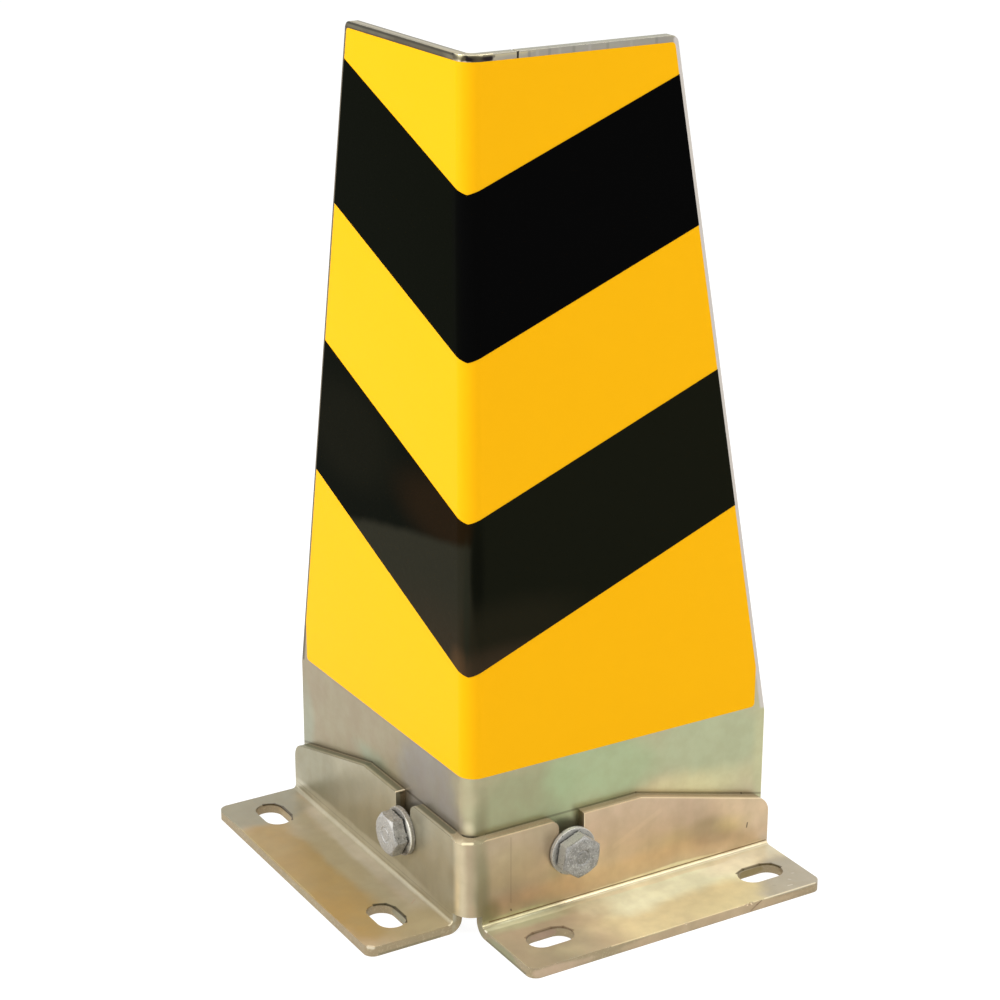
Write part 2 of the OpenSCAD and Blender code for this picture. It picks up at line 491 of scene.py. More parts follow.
class Effects:
    """The effects that several finishes share, each a shader node group that is built once."""

    def __init__(self) -> None:
        """Builds every group."""
        self.patch = self._patch()
        self.line = self._line()
        self.cloud = self._cloud()
        self.wear = self._wear()
        self.speckle = self._speckle()
        self.grain = self._grain()

    @staticmethod
    def _begin(
        name: str, inputs: dict[str, str], output: str
    ) -> tuple[Graph, bpy.types.NodeOutputs, Node]:
        """Makes an empty group with its sockets.

        Args:
            name: The group's name.
            inputs: Each input's name and its kind, Float or Vector.
            output: Name of the one number that the group puts out.

        Returns:
            The graph, what the group is given and the node that takes its output.
        """
        tree = bpy.data.node_groups.new(name, "ShaderNodeTree")
        for title, kind in inputs.items():
            tree.interface.new_socket(name=title, in_out="INPUT", socket_type=f"NodeSocket{kind}")
        tree.interface.new_socket(name=output, in_out="OUTPUT", socket_type="NodeSocketFloat")
        graph = Graph(tree)
        return graph, graph.node("NodeGroupInput").outputs, graph.node("NodeGroupOutput")

    def _patch(self) -> Tree:
        """Builds a soft ellipsoid of influence, whose border drifts by shares of its radii.

        Returns:
            The group.
        """
        vectors = dict.fromkeys(("Place", "Centre", "Radii", "Drift"), "Vector")
        graph, given, out = self._begin("soft_patch", vectors | {"Core": "Float"}, "Mask")
        offset = graph.vector("SUBTRACT", given["Place"], given["Centre"])
        shares = graph.vector("DIVIDE", offset, given["Radii"])
        distance = graph.vector("LENGTH", graph.vector("ADD", shares, given["Drift"]))
        graph.feed(out, {0: graph.step(distance, start=1.0, end=given["Core"])})
        return graph.tree

    def _line(self) -> Tree:
        """Builds a thin mark that runs from one place to another, full over its middle part.

        Returns:
            The group.
        """
        middle_part = 0.4
        inputs = {"Place": "Vector", "Start": "Vector", "End": "Vector", "Width": "Float"}
        graph, given, out = self._begin("thin_mark", inputs, "Mask")
        span = graph.vector("SUBTRACT", given["End"], given["Start"])
        offset = graph.vector("SUBTRACT", given["Place"], given["Start"])
        passed = graph.vector("DOT_PRODUCT", offset, span)
        along = graph.math("DIVIDE", passed, graph.vector("DOT_PRODUCT", span, span))
        limited = graph.node("ShaderNodeClamp", {"Value": along}).outputs[0]
        distance = graph.vector("DISTANCE", offset, graph.scaled(span, limited))
        core = graph.math("MULTIPLY", given["Width"], middle_part)
        graph.feed(out, {0: graph.step(distance, start=given["Width"], end=core)})
        return graph.tree

    def _cloud(self) -> Tree:
        """Builds wide, soft clouds that fill the range from 0 to 1.

        Returns:
            The group.
        """
        inputs = {"Place": "Vector", "Scale": "Float", "Seed": "Float"}
        graph, given, out = self._begin("clouding", inputs, "Value")
        noise = graph.noise(given["Place"], given["Scale"], given["Seed"], detail=4.0)
        graph.feed(out, {0: graph.step(noise.outputs["Fac"], start=0.32, end=0.68)})
        return graph.tree

    @staticmethod
    def _peaks(graph: Graph, noise: Node, share: Socket, start: float, end: float) -> Socket:
        """Keeps the peaks of a noise, and the more of them the larger a share is.

        Args:
            graph: The group's graph.
            noise: The noise.
            share: The share.
            start: Height of the noise at which a peak begins where the share is 0.
            end: Height at which it is full there.

        Returns:
            The peaks as a mask.
        """
        edges = [graph.math("SUBTRACT", edge, share) for edge in (start, end)]
        return graph.step(noise.outputs["Fac"], *edges)

    def _wear(self) -> Tree:
        """Builds wear that breaks up along a marked edge, over a least share that covers the whole
        edge.

        Returns:
            The group.
        """
        numbers = dict.fromkeys(("Edge", "Scale", "Amount", "Least"), "Float")
        graph, given, out = self._begin("edge_wear", {"Place": "Vector"} | numbers, "Mask")
        noise = graph.noise(given["Place"], given["Scale"], seed=3.0, detail=4.0)
        broken = self._peaks(graph, noise, given["Amount"], start=0.9, end=1.1)
        share = graph.math("MAXIMUM", broken, given["Least"])
        graph.feed(out, {0: graph.math("MULTIPLY", given["Edge"], share)})
        return graph.tree

    def _speckle(self) -> Tree:
        """Builds fine, hard-edged specks.

        Returns:
            The group.
        """
        inputs = {"Place": "Vector", "Scale": "Float", "Share": "Float"}
        graph, given, out = self._begin("speckle", inputs, "Mask")
        noise = graph.noise(given["Place"], given["Scale"], seed=7.0, detail=2.0)
        graph.feed(out, {0: self._peaks(graph, noise, given["Share"], start=0.76, end=0.86)})
        return graph.tree

    def _grain(self) -> Tree:
        """Builds the drawn-out grain of rolled sheet.

        Returns:
            The group.
        """
        inputs = {"Place": "Vector", "Stretch": "Vector", "Scale": "Float"}
        graph, given, out = self._begin("rolled_grain", inputs, "Height")
        drawn = graph.vector("MULTIPLY", given["Place"], given["Stretch"])
        noise = graph.noise(drawn, given["Scale"], seed=11.0, detail=3.0)
        graph.feed(out, {0: noise.outputs["Fac"]})
        return graph.tree


@dataclass(frozen=True)
class Patch:
    """A field of other colour on a piece, in wing coordinates.

    Attributes:
        wing: The wing that it lies on.
        centre: Its middle along the wing, outwards and in height.
        radii: Its half sizes along the wing, outwards and in height.
        colour: Its colour.
        strength: How strongly it covers the ground.
        core: Share of its size that is covered in full.
    """

    wing: Wing
    centre: Point
    radii: Point
    colour: str
    strength: float = 0.7
    core: float = 0.3


@dataclass(frozen=True)
class Mark:
    """A thin line or dot on a sheet, in wing coordinates.

    Attributes:
        wing: The wing that it lies on.
        start: One end of it.
        end: Its other end.
        width: Its half width in millimetres.
        strength: How strongly it covers the ground.
        colour: Its colour.
    """

    wing: Wing
    start: Point
    end: Point
    width: float
    strength: float = 0.7
    colour: str = "4a4032"


class Finish:
    """A material under construction: its graph, its place over the piece and its shader."""

    def __init__(self, name: str, site: Site, effects: Effects) -> None:
        """Makes the material with a Principled shader.

        Args:
            name: The material's name.
            site: Where the guard stands.
            effects: The shared effects.
        """
        self.site = site
        self.effects = effects
        self.material = bpy.data.materials.new(name)
        self.material.use_nodes = True
        self.graph = Graph(self.material.node_tree)
        self.place = self.graph.node("ShaderNodeTexCoord").outputs["Object"]
        self.shader = self.graph.node("ShaderNodeBsdfPrincipled")
        self.graph.node("ShaderNodeOutputMaterial", {"Surface": self.shader.outputs["BSDF"]})

    def clouds(self, scale: float, seed: float) -> Socket:
        """Gives soft clouds over the piece."""
        return self.graph.group(self.effects.cloud, Place=self.place, Scale=scale, Seed=seed)

    def specks(self, scale: float, share: float) -> Socket:
        """Gives fine specks that cover a share of the piece."""
        return self.graph.group(self.effects.speckle, Place=self.place, Scale=scale, Share=share)

    def stored(self, name: str) -> Socket:
        """Gives a number that was stored on the piece's faces."""
        return self.graph.node("ShaderNodeAttribute", attribute_name=name).outputs["Fac"]

    def painted(self, patches: tuple[Patch, ...], colour: object, reach: float) -> object:
        """Lays fields of other colour over a ground, with their borders drifting like clouds.

        Args:
            patches: The fields, the last one on top.
            colour: The ground.
            reach: How far a border drifts, as a share of the field's size.

        Returns:
            The painted colour.
        """
        graph = self.graph
        noise = graph.noise(self.place, scale=28.0, seed=1.0, detail=3.0)
        parts = graph.node("ShaderNodeSeparateColor", {0: noise.outputs["Color"]}).outputs
        warp = graph.node("ShaderNodeCombineXYZ", dict(enumerate(parts))).outputs[0]
        drift = graph.scaled(graph.vector("SUBTRACT", warp, (0.5, 0.5, 0.5)), reach)
        for patch in patches:
            mask = graph.group(
                self.effects.patch,
                Place=self.place,
                Centre=self.site.point(patch.wing, *patch.centre),
                Radii=self.site.reach(patch.wing, *patch.radii),
                Drift=drift,
                Core=patch.core,
            )
            colour = graph.veil(colour, patch.colour, mask, patch.strength)
        return colour

    def marked(self, marks: tuple[Mark, ...], colour: object) -> object:
        """Draws thin marks over a ground.

        Args:
            marks: The marks, the last one on top.
            colour: The ground.

        Returns:
            The marked colour.
        """
        for mark in marks:
            mask = self.graph.group(
                self.effects.line,
                Place=self.place,
                Start=self.site.point(mark.wing, *mark.start),
                End=self.site.point(mark.wing, *mark.end),
                Width=mark.width * MM,
            )
            colour = self.graph.veil(colour, mark.colour, mask, mark.strength)
        return colour

    def bump(self, height: object, depth: float, strength: float) -> None:
        """Feeds a height to the shader's normal.

        Args:
            height: The height, as shares of the depth.
            depth: The depth in millimetres.
            strength: How strongly it shows.
        """
        inputs = {"Height": height, "Distance": depth * MM, "Strength": strength}
        bump = self.graph.node("ShaderNodeBump", inputs)
        self.graph.feed(self.shader, {"Normal": bump.outputs["Normal"]})


@dataclass(frozen=True)
class ChromatedZinc:
    """Yellow chromated zinc on sheet steel: satin, with iridescent clouds and bright edges, partly wear
    and partly painted highlight.

    Attributes:
        name: The material's name.
        patches: The fields of other colour.
        marks: The thin marks, dark and light.
        ground: Colour of the sheet's faces.
        green: Tint of the greenish clouds.
        pink: Tint of the pinkish clouds.
        edge: Colour of the rounded edges, for their wear and for the painted highlight along them.
        cut: Light colour of the cut edges' specks.
        cut_ground: Dark colour between them.
        smeared: Dark colour of the smears.
        smears: Strength of the smears.
        roughness: Roughness of the sheet's faces.
        metallic: Share of the metal's own gloss under the chromate.
        dust: Share of that gloss which fine dust takes away on faces that look up.
    """

    name: str
    patches: tuple[Patch, ...]
    marks: tuple[Mark, ...]
    ground: str
    green: str
    pink: str
    edge: str = "f0e6c4"
    cut: str = "d3c6a6"
    cut_ground: str = "8f8062"
    smeared: str = "6f6850"
    smears: float = 0.07
    roughness: float = 0.30
    metallic: float = 0.88
    dust: float = 0.65

    def build(self, site: Site, effects: Effects) -> Material:
        """Builds the material, from the ground colour up to the marks.

        Args:
            site: Where the guard stands.
            effects: The shared effects.

        Returns:
            The material.
        """
        made = Finish(self.name, site, effects)
        graph, place = made.graph, made.place
        greenish = made.clouds(scale=17.0, seed=2.0)
        pinkish = made.clouds(scale=23.0, seed=5.0)
        colour = graph.veil(tint(self.ground), self.green, greenish, share=0.35)
        colour = graph.veil(colour, self.pink, pinkish, share=0.3)
        cut = made.stored(PlateWork.CUT)
        specks = made.specks(scale=900.0, share=0.22)
        cut_colour = graph.veil(tint(self.cut_ground), self.cut, specks, share=0.3)
        cut_cover = 0.65
        colour = graph.mix(graph.math("MULTIPLY", cut, cut_cover), colour, cut_colour)
        colour = made.painted(self.patches, colour, reach=1.3)
        shimmer = made.clouds(scale=75.0, seed=9.0)
        colour = graph.veil(colour, self.green, shimmer, share=0.12)
        fine = made.clouds(scale=160.0, seed=8.0)
        colour = graph.veil(colour, self.cut_ground, fine, share=0.12)
        drawn = graph.vector("MULTIPLY", place, (1.0, 1.0, 0.4))
        smear = graph.group(effects.cloud, Place=drawn, Scale=95.0, Seed=12.0)
        colour = graph.veil(colour, self.smeared, smear, self.smears)
        # The rounded arrises lighten: wear that breaks up, over an even least share that is a painted
        # highlight along every arris
        arrises = made.stored(PlateWork.ROUNDED_EDGE)
        wear_and_highlight = graph.group(effects.wear, Place=place, Edge=arrises, Scale=190.0, Amount=0.55, Least=0.7)
        colour = graph.veil(colour, self.edge, wear_and_highlight, share=0.85)
        colour = made.marked(self.marks, colour)
        grain = graph.group(effects.grain, Place=place, Stretch=(1.0, 1.0, 0.12), Scale=1400.0)
        rough = graph.total(self.roughness, (fine, 0.07), (cut, 0.14), (wear_and_highlight, -0.10), (grain, 0.05))
        normal = graph.node("ShaderNodeNewGeometry").outputs["Normal"]
        upwards = graph.node("ShaderNodeSeparateXYZ", {0: normal}).outputs["Z"]
        dusty = graph.step(upwards, start=0.5, end=0.95)
        gloss = graph.total(self.metallic, (dusty, -self.dust))
        graph.feed(made.shader, {"Base Color": colour, "Roughness": rough, "Metallic": gloss})
        pitted_share = 0.2
        pitting = graph.math("MULTIPLY", cut, pitted_share)
        made.bump(graph.total(grain, (specks, pitting)), depth=0.05, strength=0.25)
        return made.material


@dataclass(frozen=True)
class FilmFinish:
    """Self-adhesive warning film: even colour under a smooth, faintly wavy skin.

    Attributes:
        name: The material's name.
        colour: Colour of the film.
        faded: Colour that it drifts towards in places.
        patches: The fields of other colour.
        roughness: Roughness of the skin.
        shine: Specular level of the skin.
    """

    name: str
    colour: str
    faded: str
    patches: tuple[Patch, ...]
    roughness: float
    shine: float

    def build(self, site: Site, effects: Effects) -> Material:
        """Builds the material.

        Args:
            site: Where the guard stands.
            effects: The shared effects.

        Returns:
            The material.
        """
        made = Finish(self.name, site, effects)
        graph = made.graph
        soft = made.clouds(scale=9.0, seed=4.0)
        colour = graph.veil(tint(self.colour), self.faded, soft, share=0.35)
        colour = made.painted(self.patches, colour, reach=0.06)
        dust = made.specks(scale=420.0, share=0.05)
        fine = made.clouds(scale=240.0, seed=6.0)
        rough = graph.total(self.roughness, (fine, 0.05), (dust, 0.12))
        graph.feed(
            made.shader, {"Base Color": colour, "Roughness": rough, "Specular IOR Level": self.shine}
        )
        wave = graph.noise(made.place, scale=55.0, seed=9.0, detail=2.0).outputs["Fac"]
        made.bump(graph.total(wave, (fine, 0.04)), depth=0.25, strength=0.12)
        return made.material


@dataclass(frozen=True)
class BrightZinc:
    """Bright zinc on forged fasteners: pale grey, mottled and a little pitted.

    Attributes:
        name: The material's name.
        patches: The fields of other colour.
        ground: Colour of the plain surface.
        pale: Colour of the pale bloom on it.
        dark: Colour of the pits.
        roughness: Roughness of the plain surface.
        metallic: Share of the metal's own gloss.
    """

    name: str
    patches: tuple[Patch, ...]
    ground: str = "85837e"
    pale: str = "c4c3bd"
    dark: str = "3c3a37"
    roughness: float = 0.36
    metallic: float = 0.3

    def build(self, site: Site, effects: Effects) -> Material:
        """Builds the material.

        Args:
            site: Where the guard stands.
            effects: The shared effects.

        Returns:
            The material.
        """
        made = Finish(self.name, site, effects)
        graph = made.graph
        bloom = made.clouds(scale=330.0, seed=1.0)
        specks = made.specks(scale=1100.0, share=0.22)
        pits = made.specks(scale=1300.0, share=0.17)
        colour = graph.veil(tint(self.ground), self.pale, bloom, share=0.4)
        colour = made.painted(self.patches, colour, reach=0.3)
        colour = graph.veil(colour, self.pale, specks, share=0.55)
        colour = graph.veil(colour, self.dark, pits, share=0.75)
        rough = graph.total(self.roughness, (bloom, 0.12))
        graph.feed(made.shader, {"Base Color": colour, "Roughness": rough, "Metallic": self.metallic})
        made.bump(graph.math("SUBTRACT", specks, pits), depth=0.1, strength=0.6)
        return made.material


class PlateWork:
    """The work that a bent sheet shows on its edges: cut faces and rounded arrises.

    Attributes:
        CUT: Name of the number that is 1 on cut faces.
        ROUNDED_EDGE: Name of the number that is 1 on rounded arrises.
        BEND: How far the upright bend reaches along a wing, in millimetres.
        FOLD: How far the fold of a flange reaches upwards and outwards.
        FACING: Least part of a normal that makes a face look along an axis.
        ASIDE: Part of a normal below which a face looks aside.
    """

    CUT = "cut_edge"
    ROUNDED_EDGE = "rounded_edge"
    BEND = 12.0
    FOLD = 7.5
    FACING = 0.7
    ASIDE = 0.5

    def __init__(self, site: Site, piece: Piece) -> None:
        """Takes the sheet that is to be worked."""
        self.site = site
        self.piece = piece

    def round_edges(self, width: float) -> None:
        """Rounds every arris and stores on the faces which are rounded and which are cut.

        Args:
            width: Width of the rounding in millimetres.
        """
        blanks = [bpy.data.materials.new("blank") for _ in range(2)]
        for blank in blanks:
            self.piece.data.materials.append(blank)
        further = {"material": 1, "miter_outer": "MITER_ARC"}
        Bench.bevel(self.piece, width, segments=3, angle=32.0, **further)
        mesh = self.piece.data
        wear_and_highlight = mesh.attributes.new(self.ROUNDED_EDGE, "FLOAT", "FACE")
        cut = mesh.attributes.new(self.CUT, "FLOAT", "FACE")
        for face in mesh.polygons:
            wear_and_highlight.data[face.index].value = float(face.material_index == 1)
            cut.data[face.index].value = float(self._is_cut(face))
            face.material_index = 0
        mesh.materials.clear()
        for blank in blanks:
            bpy.data.materials.remove(blank)

    def _is_cut(self, face: bpy.types.MeshPolygon) -> bool:
        """Says whether a face lies in the thickness of the sheet.

        Args:
            face: A face of the piece.

        Returns:
            True on the sheet's narrow edges and in its holes.
        """
        wing = FIRST if face.center.x > face.center.y else SECOND
        where = self.site.local(wing, face.center)
        normal = Vector(face.normal)
        along, across = normal.xy if wing is FIRST else normal.yx
        if where.z < self.FOLD and where.y > self.FOLD:
            return abs(normal.z) < self.ASIDE
        if where.z < self.FOLD:
            return abs(along) > self.FACING
        if where.x < self.BEND:
            return abs(normal.z) > self.FACING
        return abs(across) < self.ASIDE


@dataclass
class GuardPlate:
    """The bent corner plate, with rounded arrises and a small nick in its top edge.

    Attributes:
        edge_round: Width of the rounded arrises in millimetres.
        sheet_t: Thickness of the sheet.
        nick_along: Place of the nick on the first wing.
        nick_width: Width of the nick.
        nick_across: Length of its cutter across the sheet.
        nick_drop: How far it runs down the face.
    """

    edge_round: float = 0.6
    sheet_t: float = 5.0
    nick_along: float = 25.5
    nick_width: float = 0.9
    nick_across: float = 9.0
    nick_drop: float = 3.0

    def build(self, site: Site, material: Material) -> None:
        """Makes the plate and puts it in the place of its node.

        Args:
            site: Where the guard stands.
            material: The plate's finish.
        """
        plate = Bench.merged_copy("guard_plate", "corner_plate")
        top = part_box("guard_plate")[1].z / MM
        for out, height, length, tilt in (
            (-self.sheet_t / 2, top, self.nick_across, 90.0),
            (0.0, top - self.nick_drop / 2, self.nick_drop, 0.0),
        ):
            radius = self.nick_width / 2
            cutter = Bench.upright("nick_cutter", 4, (radius, radius), -length / 2, length / 2)
            centre = Matrix.Translation(site.point(FIRST, self.nick_along, out, height))
            Bench.place(cutter, centre @ Matrix.Rotation(math.radians(tilt), 4, "X"))
            Bench.combine(plate, cutter, "DIFFERENCE")
        PlateWork(site, plate).round_edges(self.edge_round)
        Bench.smooth(plate)
        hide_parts("guard_plate")
        Bench.finish(plate, material, "chromated_steel")


@dataclass
class BaseBracket:
    """The folded floor bracket, with rounded arrises and dents in a flange's front edge.

    Attributes:
        edge_round: Width of the rounded arrises in millimetres.
        sheet_t: Thickness of the sheet.
        dents: Places of the dents on the first flange: along it and how deep they go.
        dent_radius: Radius of the ball that makes a dent.
    """

    edge_round: float = 0.55
    sheet_t: float = 5.0
    dents: tuple[tuple[float, float], ...] = ((127.1, 0.9), (124.6, 0.5), (89.5, 0.4))
    dent_radius: float = 1.6

    def build(self, site: Site, material: Material) -> None:
        """Makes the bracket and puts it in the place of its node.

        Args:
            site: Where the guard stands.
            material: The bracket's finish.
        """
        bracket = Bench.merged_copy("base_bracket", "floor_bracket")
        PlateWork(site, bracket).round_edges(self.edge_round)
        front = site.local(FIRST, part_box("base_bracket")[0]).y
        for along, depth in self.dents:
            out = front + self.dent_radius - depth
            ball = self._dent_cutter(site.point(FIRST, along, out, self.sheet_t))
            Bench.combine(bracket, ball, "DIFFERENCE")
        Bench.smooth(bracket)
        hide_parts("base_bracket")
        Bench.finish(bracket, material, "chromated_steel")

    def _dent_cutter(self, centre: Vector) -> Piece:
        """Makes the ball that presses a dent.

        Args:
            centre: Its middle, in metres.

        Returns:
            The ball.
        """
        bpy.ops.object.select_all(action="DESELECT")
        bpy.ops.mesh.primitive_uv_sphere_add(
            segments=20, ring_count=10, radius=self.dent_radius * MM, location=centre
        )
        return Bench.started("dent_cutter")


@dataclass
class WarningSkin:
    """The yellow film and its printed black bands, laid round the outer corner.

    Attributes:
        film_round: Width of the rounding at the film's edge in millimetres.
        band_round: Width of the rounding at the bands' edges.
    """

    film_round: float = 0.12
    band_round: float = 0.08

    def build(self, yellow: Material, black: Material) -> None:
        """Makes the film and the bands and puts them in the places of their nodes."""
        self._layer("warning_film", "yellow_skin", self.film_round, yellow, "yellow_film")
        self._layer("black_bands", "black_print", self.band_round, black, "black_film")

    @staticmethod
    def _layer(node: str, name: str, width: float, material: Material, slot: str) -> None:
        """Makes one layer with softened edges.

        Args:
            node: The node that it stands for.
            name: The layer's name.
            width: Width of its rounded edges in millimetres.
            material: Its finish.
            slot: The record's material slot.
        """
        layer = Bench.merged_copy(node, name)
        Bench.bevel(layer, width, segments=2, angle=40.0)
        Bench.smooth(layer)
        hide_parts(node)
        Bench.finish(layer, material, slot)


@dataclass(frozen=True)
class BoltStation:
    """The place of one bolt and what is on it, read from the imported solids.

    Attributes:
        wing: The wing that it goes through.
        along: Distance of its axis from the outer corner in millimetres.
        height: Height of its axis above the floor.
        head: The bolt's outermost point, outwards from the guard's face.
        tail: The bolt's innermost point.
        turn: Turn of its hexagons about the axis in degrees.
    """

    wing: Wing
    along: float
    height: float
    head: float
    tail: float
    turn: float

    @classmethod
    def from_frame(cls, site: Site, wing: Wing, turn: float) -> "BoltStation":
        """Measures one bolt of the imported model.

        Args:
            site: Where the guard stands.
            wing: The wing whose bolt is measured.
            turn: Turn of its hexagons in degrees.

        Returns:
            The bolt's station.
        """
        points = site.solids_on("flat_washers", wing)
        along = (min(p.x for p in points) + max(p.x for p in points)) / 2
        height = (min(p.z for p in points) + max(p.z for p in points)) / 2
        outs = [p.y for p in site.solids_on("hex_bolts", wing)]
        return cls(wing, along, height, max(outs), min(outs), turn)

    def placing(self, site: Site, out: float, turned: bool) -> Matrix:
        """Gives the placing of a piece whose own Z points out of the wing.

        Args:
            site: Where the guard stands.
            out: Distance of the piece's origin from the guard's face in millimetres.
            turned: Whether the piece turns with the hexagons.

        Returns:
            The placing in the frame.
        """
        first = self.wing is FIRST
        columns = ((1, 0, 0), (0, 0, 1), (0, -1, 0)) if first else ((0, -1, 0), (0, 0, 1), (-1, 0, 0))
        facing = Matrix(columns).transposed().to_4x4()
        angle = math.radians(self.turn if first else -self.turn) if turned else 0.0
        where = Matrix.Translation(site.point(self.wing, self.along, out, self.height))
        return where @ facing @ Matrix.Rotation(angle, 4, "Z")


@dataclass
class Fasteners:
    """The bolts, washers and nuts. Each kind is modelled once and copied to both wings.

    Attributes:
        thread_d: Outer diameter of the thread in millimetres.
        pitch: Pitch of the thread.
        thread_depth: Depth of the thread.
        thread_gap: How far its crests stay inside the outer diameter.
        end_chamfer: How far a bolt's end is chamfered.
        flats: Width across the flats of head and nut.
        face_share: Share of that width to which head and nut are chamfered.
        chamfer: Angle of that chamfer in degrees.
        head_h: Height of a head.
        collar_h: Height of the washer face under a head.
        nut_h: Height of a nut.
        nut_bore: Diameter of a nut's bore.
        washer_d: Outer diameter of a washer.
        washer_bore: Diameter of a washer's hole.
        washer_t: Thickness of a washer.
        sheet_t: Thickness of either sheet.
        ring_r: Middle radius of the forging ring in a head.
        over: How far a joined or cutting body passes a face.
    """

    thread_d: float = 12.0
    pitch: float = 1.75
    thread_depth: float = 1.05
    thread_gap: float = 0.02
    end_chamfer: float = 1.2
    flats: float = 19.0
    face_share: float = 0.95
    chamfer: float = 30.0
    head_h: float = 7.5
    collar_h: float = 0.6
    nut_h: float = 10.0
    nut_bore: float = 12.2
    washer_d: float = 24.0
    washer_bore: float = 13.0
    washer_t: float = 2.5
    sheet_t: float = 5.0
    ring_r: float = 3.4
    over: float = 1.0

    @property
    def face_r(self) -> float:
        """Radius of the round face that the chamfer leaves on a head or nut."""
        return self.flats / 2 * self.face_share

    def build(self, site: Site, stations: list[BoltStation], material: Material) -> None:
        """Models each kind of fastener and sets a copy of it at every station.

        Args:
            site: Where the guard stands.
            stations: The places of the bolts.
            material: The fasteners' finish.
        """
        shank = stations[0].head - self.head_h - stations[0].tail
        front = self.sheet_t
        back = -self.sheet_t - self.washer_t
        bolt = self._bolt(shank)
        washer = self._washer()
        nut = self._nut()
        kinds = (
            (bolt, "hex_bolt", "hex_bolts", front + self.washer_t, True),
            (washer, "front_washer", "flat_washers", front, False),
            (washer, "rear_washer", "flat_washers", back, False),
            (nut, "hex_nut", "hex_nuts", back - self.nut_h, True),
        )
        for number, station in enumerate(stations, 1):
            for model, title, node, out, turned in kinds:
                piece = Bench.copy(model, f"{title}_{number}")
                Bench.place(piece, station.placing(site, out, turned))
                Bench.smooth(piece, degrees=30.0)
                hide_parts(node)
                Bench.finish(piece, material, "bright_zinc")
        for model in (bolt, washer, nut):
            bpy.data.objects.remove(model)

    def _hexagon(self, height: float, both_ends: bool) -> Piece:
        """Models a hexagon with its corners chamfered round, from the floor up.

        Args:
            height: Its height in millimetres.
            both_ends: Whether the lower end is chamfered too.

        Returns:
            The hexagon.
        """
        corner_r = self.flats / 2 / math.cos(math.radians(30))
        hexagon = Bench.upright("hexagon", 6, (corner_r, corner_r), 0.0, height, turn=30.0)
        steepness = 1.0 / math.tan(math.radians(self.chamfer))
        narrow_r = self.face_r - self.over * steepness
        wide_r = self.face_r + (height + self.over) * steepness
        for radii in ((wide_r, narrow_r), (narrow_r, wide_r))[: 2 if both_ends else 1]:
            cone = Bench.upright("chamfer_cone", 96, radii, -self.over, height + self.over)
            Bench.combine(hexagon, cone, "INTERSECT")
        Bench.tidy(hexagon, gap=0.01)
        return hexagon

    def _bolt(self, shank: float) -> Piece:
        """Models a bolt with its head's seat at the origin and its shank below.

        Args:
            shank: Length under the head in millimetres.

        Returns:
            The bolt.
        """
        head = self._hexagon(self.head_h - self.collar_h, both_ends=False)
        self._press_ring(head)
        Bench.place(head, Matrix.Translation((0.0, 0.0, self.collar_h * MM)))
        Bench.bevel(head, width=0.14, segments=2, angle=25.0)
        joined = 0.2
        radii = (self.face_r, self.face_r)
        collar = Bench.upright("washer_face", 96, radii, 0.0, self.collar_h + joined)
        Bench.bevel(collar, width=0.1, segments=2, angle=40.0)
        return Bench.join([head, collar, self._threaded_shank(shank)], "bolt_model")

    def _press_ring(self, head: Piece) -> None:
        """Presses the forging ring into the top of a head.

        Args:
            head: The head, standing on the floor.
        """
        ring_half = 0.7
        land = self.face_r - self.ring_r - ring_half
        steps = ((land, 0.0), (0.3, -0.4), (0.7, 0.0), (0.3, 0.3), (1.0, -0.15))
        top = max(v.co.z for v in head.data.vertices) - 0.001 * MM
        with Bench.editing(head):
            Bench.pick_faces(head, lambda face: face.calc_center_median().z > top)
            for thickness, rise in steps:
                bpy.ops.mesh.inset(thickness=thickness * MM, depth=rise * MM)

    def _thread_profile(self) -> Piece:
        """Draws one turn's profile of the thread, below where the shank ends.

        Returns:
            The profile, an open line of edges.
        """
        root = (self.thread_d / 2 - self.thread_depth) * MM
        crest = (self.thread_d / 2 - self.thread_gap) * MM
        profile = ((root, 0.0), (root, 0.12), (crest, 0.44), (crest, 0.56), (root, 0.88), (root, 1.0))
        bpy.ops.object.select_all(action="DESELECT")
        bpy.ops.mesh.primitive_circle_add(vertices=len(profile), fill_type="NOTHING")
        thread = Bench.started("thread")
        mesh = bmesh.new()
        mesh.from_mesh(thread.data)
        mesh.verts.ensure_lookup_table()
        for vertex, (radius, share) in zip(mesh.verts, profile):
            vertex.co = (radius, 0.0, share * self.pitch * MM)
        ends = {mesh.verts[0], mesh.verts[len(profile) - 1]}
        closing = [edge for edge in mesh.edges if set(edge.verts) == ends]
        bmesh.ops.delete(mesh, geom=closing, context="EDGES")
        mesh.to_mesh(thread.data)
        mesh.free()
        return thread

    def _threaded_shank(self, length: float) -> Piece:
        """Models a threaded shank that hangs below the origin, chamfered at its end.

        Args:
            length: Its length in millimetres.

        Returns:
            The shank, closed at both ends.
        """
        thread = self._thread_profile()
        Bench.place(thread, Matrix.Translation((0.0, 0.0, -(length + self.pitch) * MM)))
        Bench.modify(
            thread,
            "SCREW",
            axis="Z",
            angle=math.tau,
            screw_offset=self.pitch * MM,
            iterations=math.ceil(length / self.pitch) + 2,
            steps=36,
            render_steps=36,
        )
        joined = 0.1
        with Bench.editing(thread):
            bpy.ops.mesh.select_all(action="SELECT")
            bpy.ops.mesh.remove_doubles(threshold=0.001 * MM)
            for height, upper in ((-length, False), (joined, True)):
                bpy.ops.mesh.select_all(action="SELECT")
                bpy.ops.mesh.bisect(
                    plane_co=(0.0, 0.0, height * MM),
                    plane_no=(0.0, 0.0, 1.0),
                    use_fill=True,
                    clear_inner=not upper,
                    clear_outer=upper,
                )
            bpy.ops.mesh.select_all(action="SELECT")
            bpy.ops.mesh.normals_make_consistent(inside=False)
        end_r = self.thread_d / 2 - self.end_chamfer
        cone = Bench.upright("end_cone", 72, (end_r, end_r + length + self.over), -length, self.over)
        Bench.combine(thread, cone, "INTERSECT")
        return thread

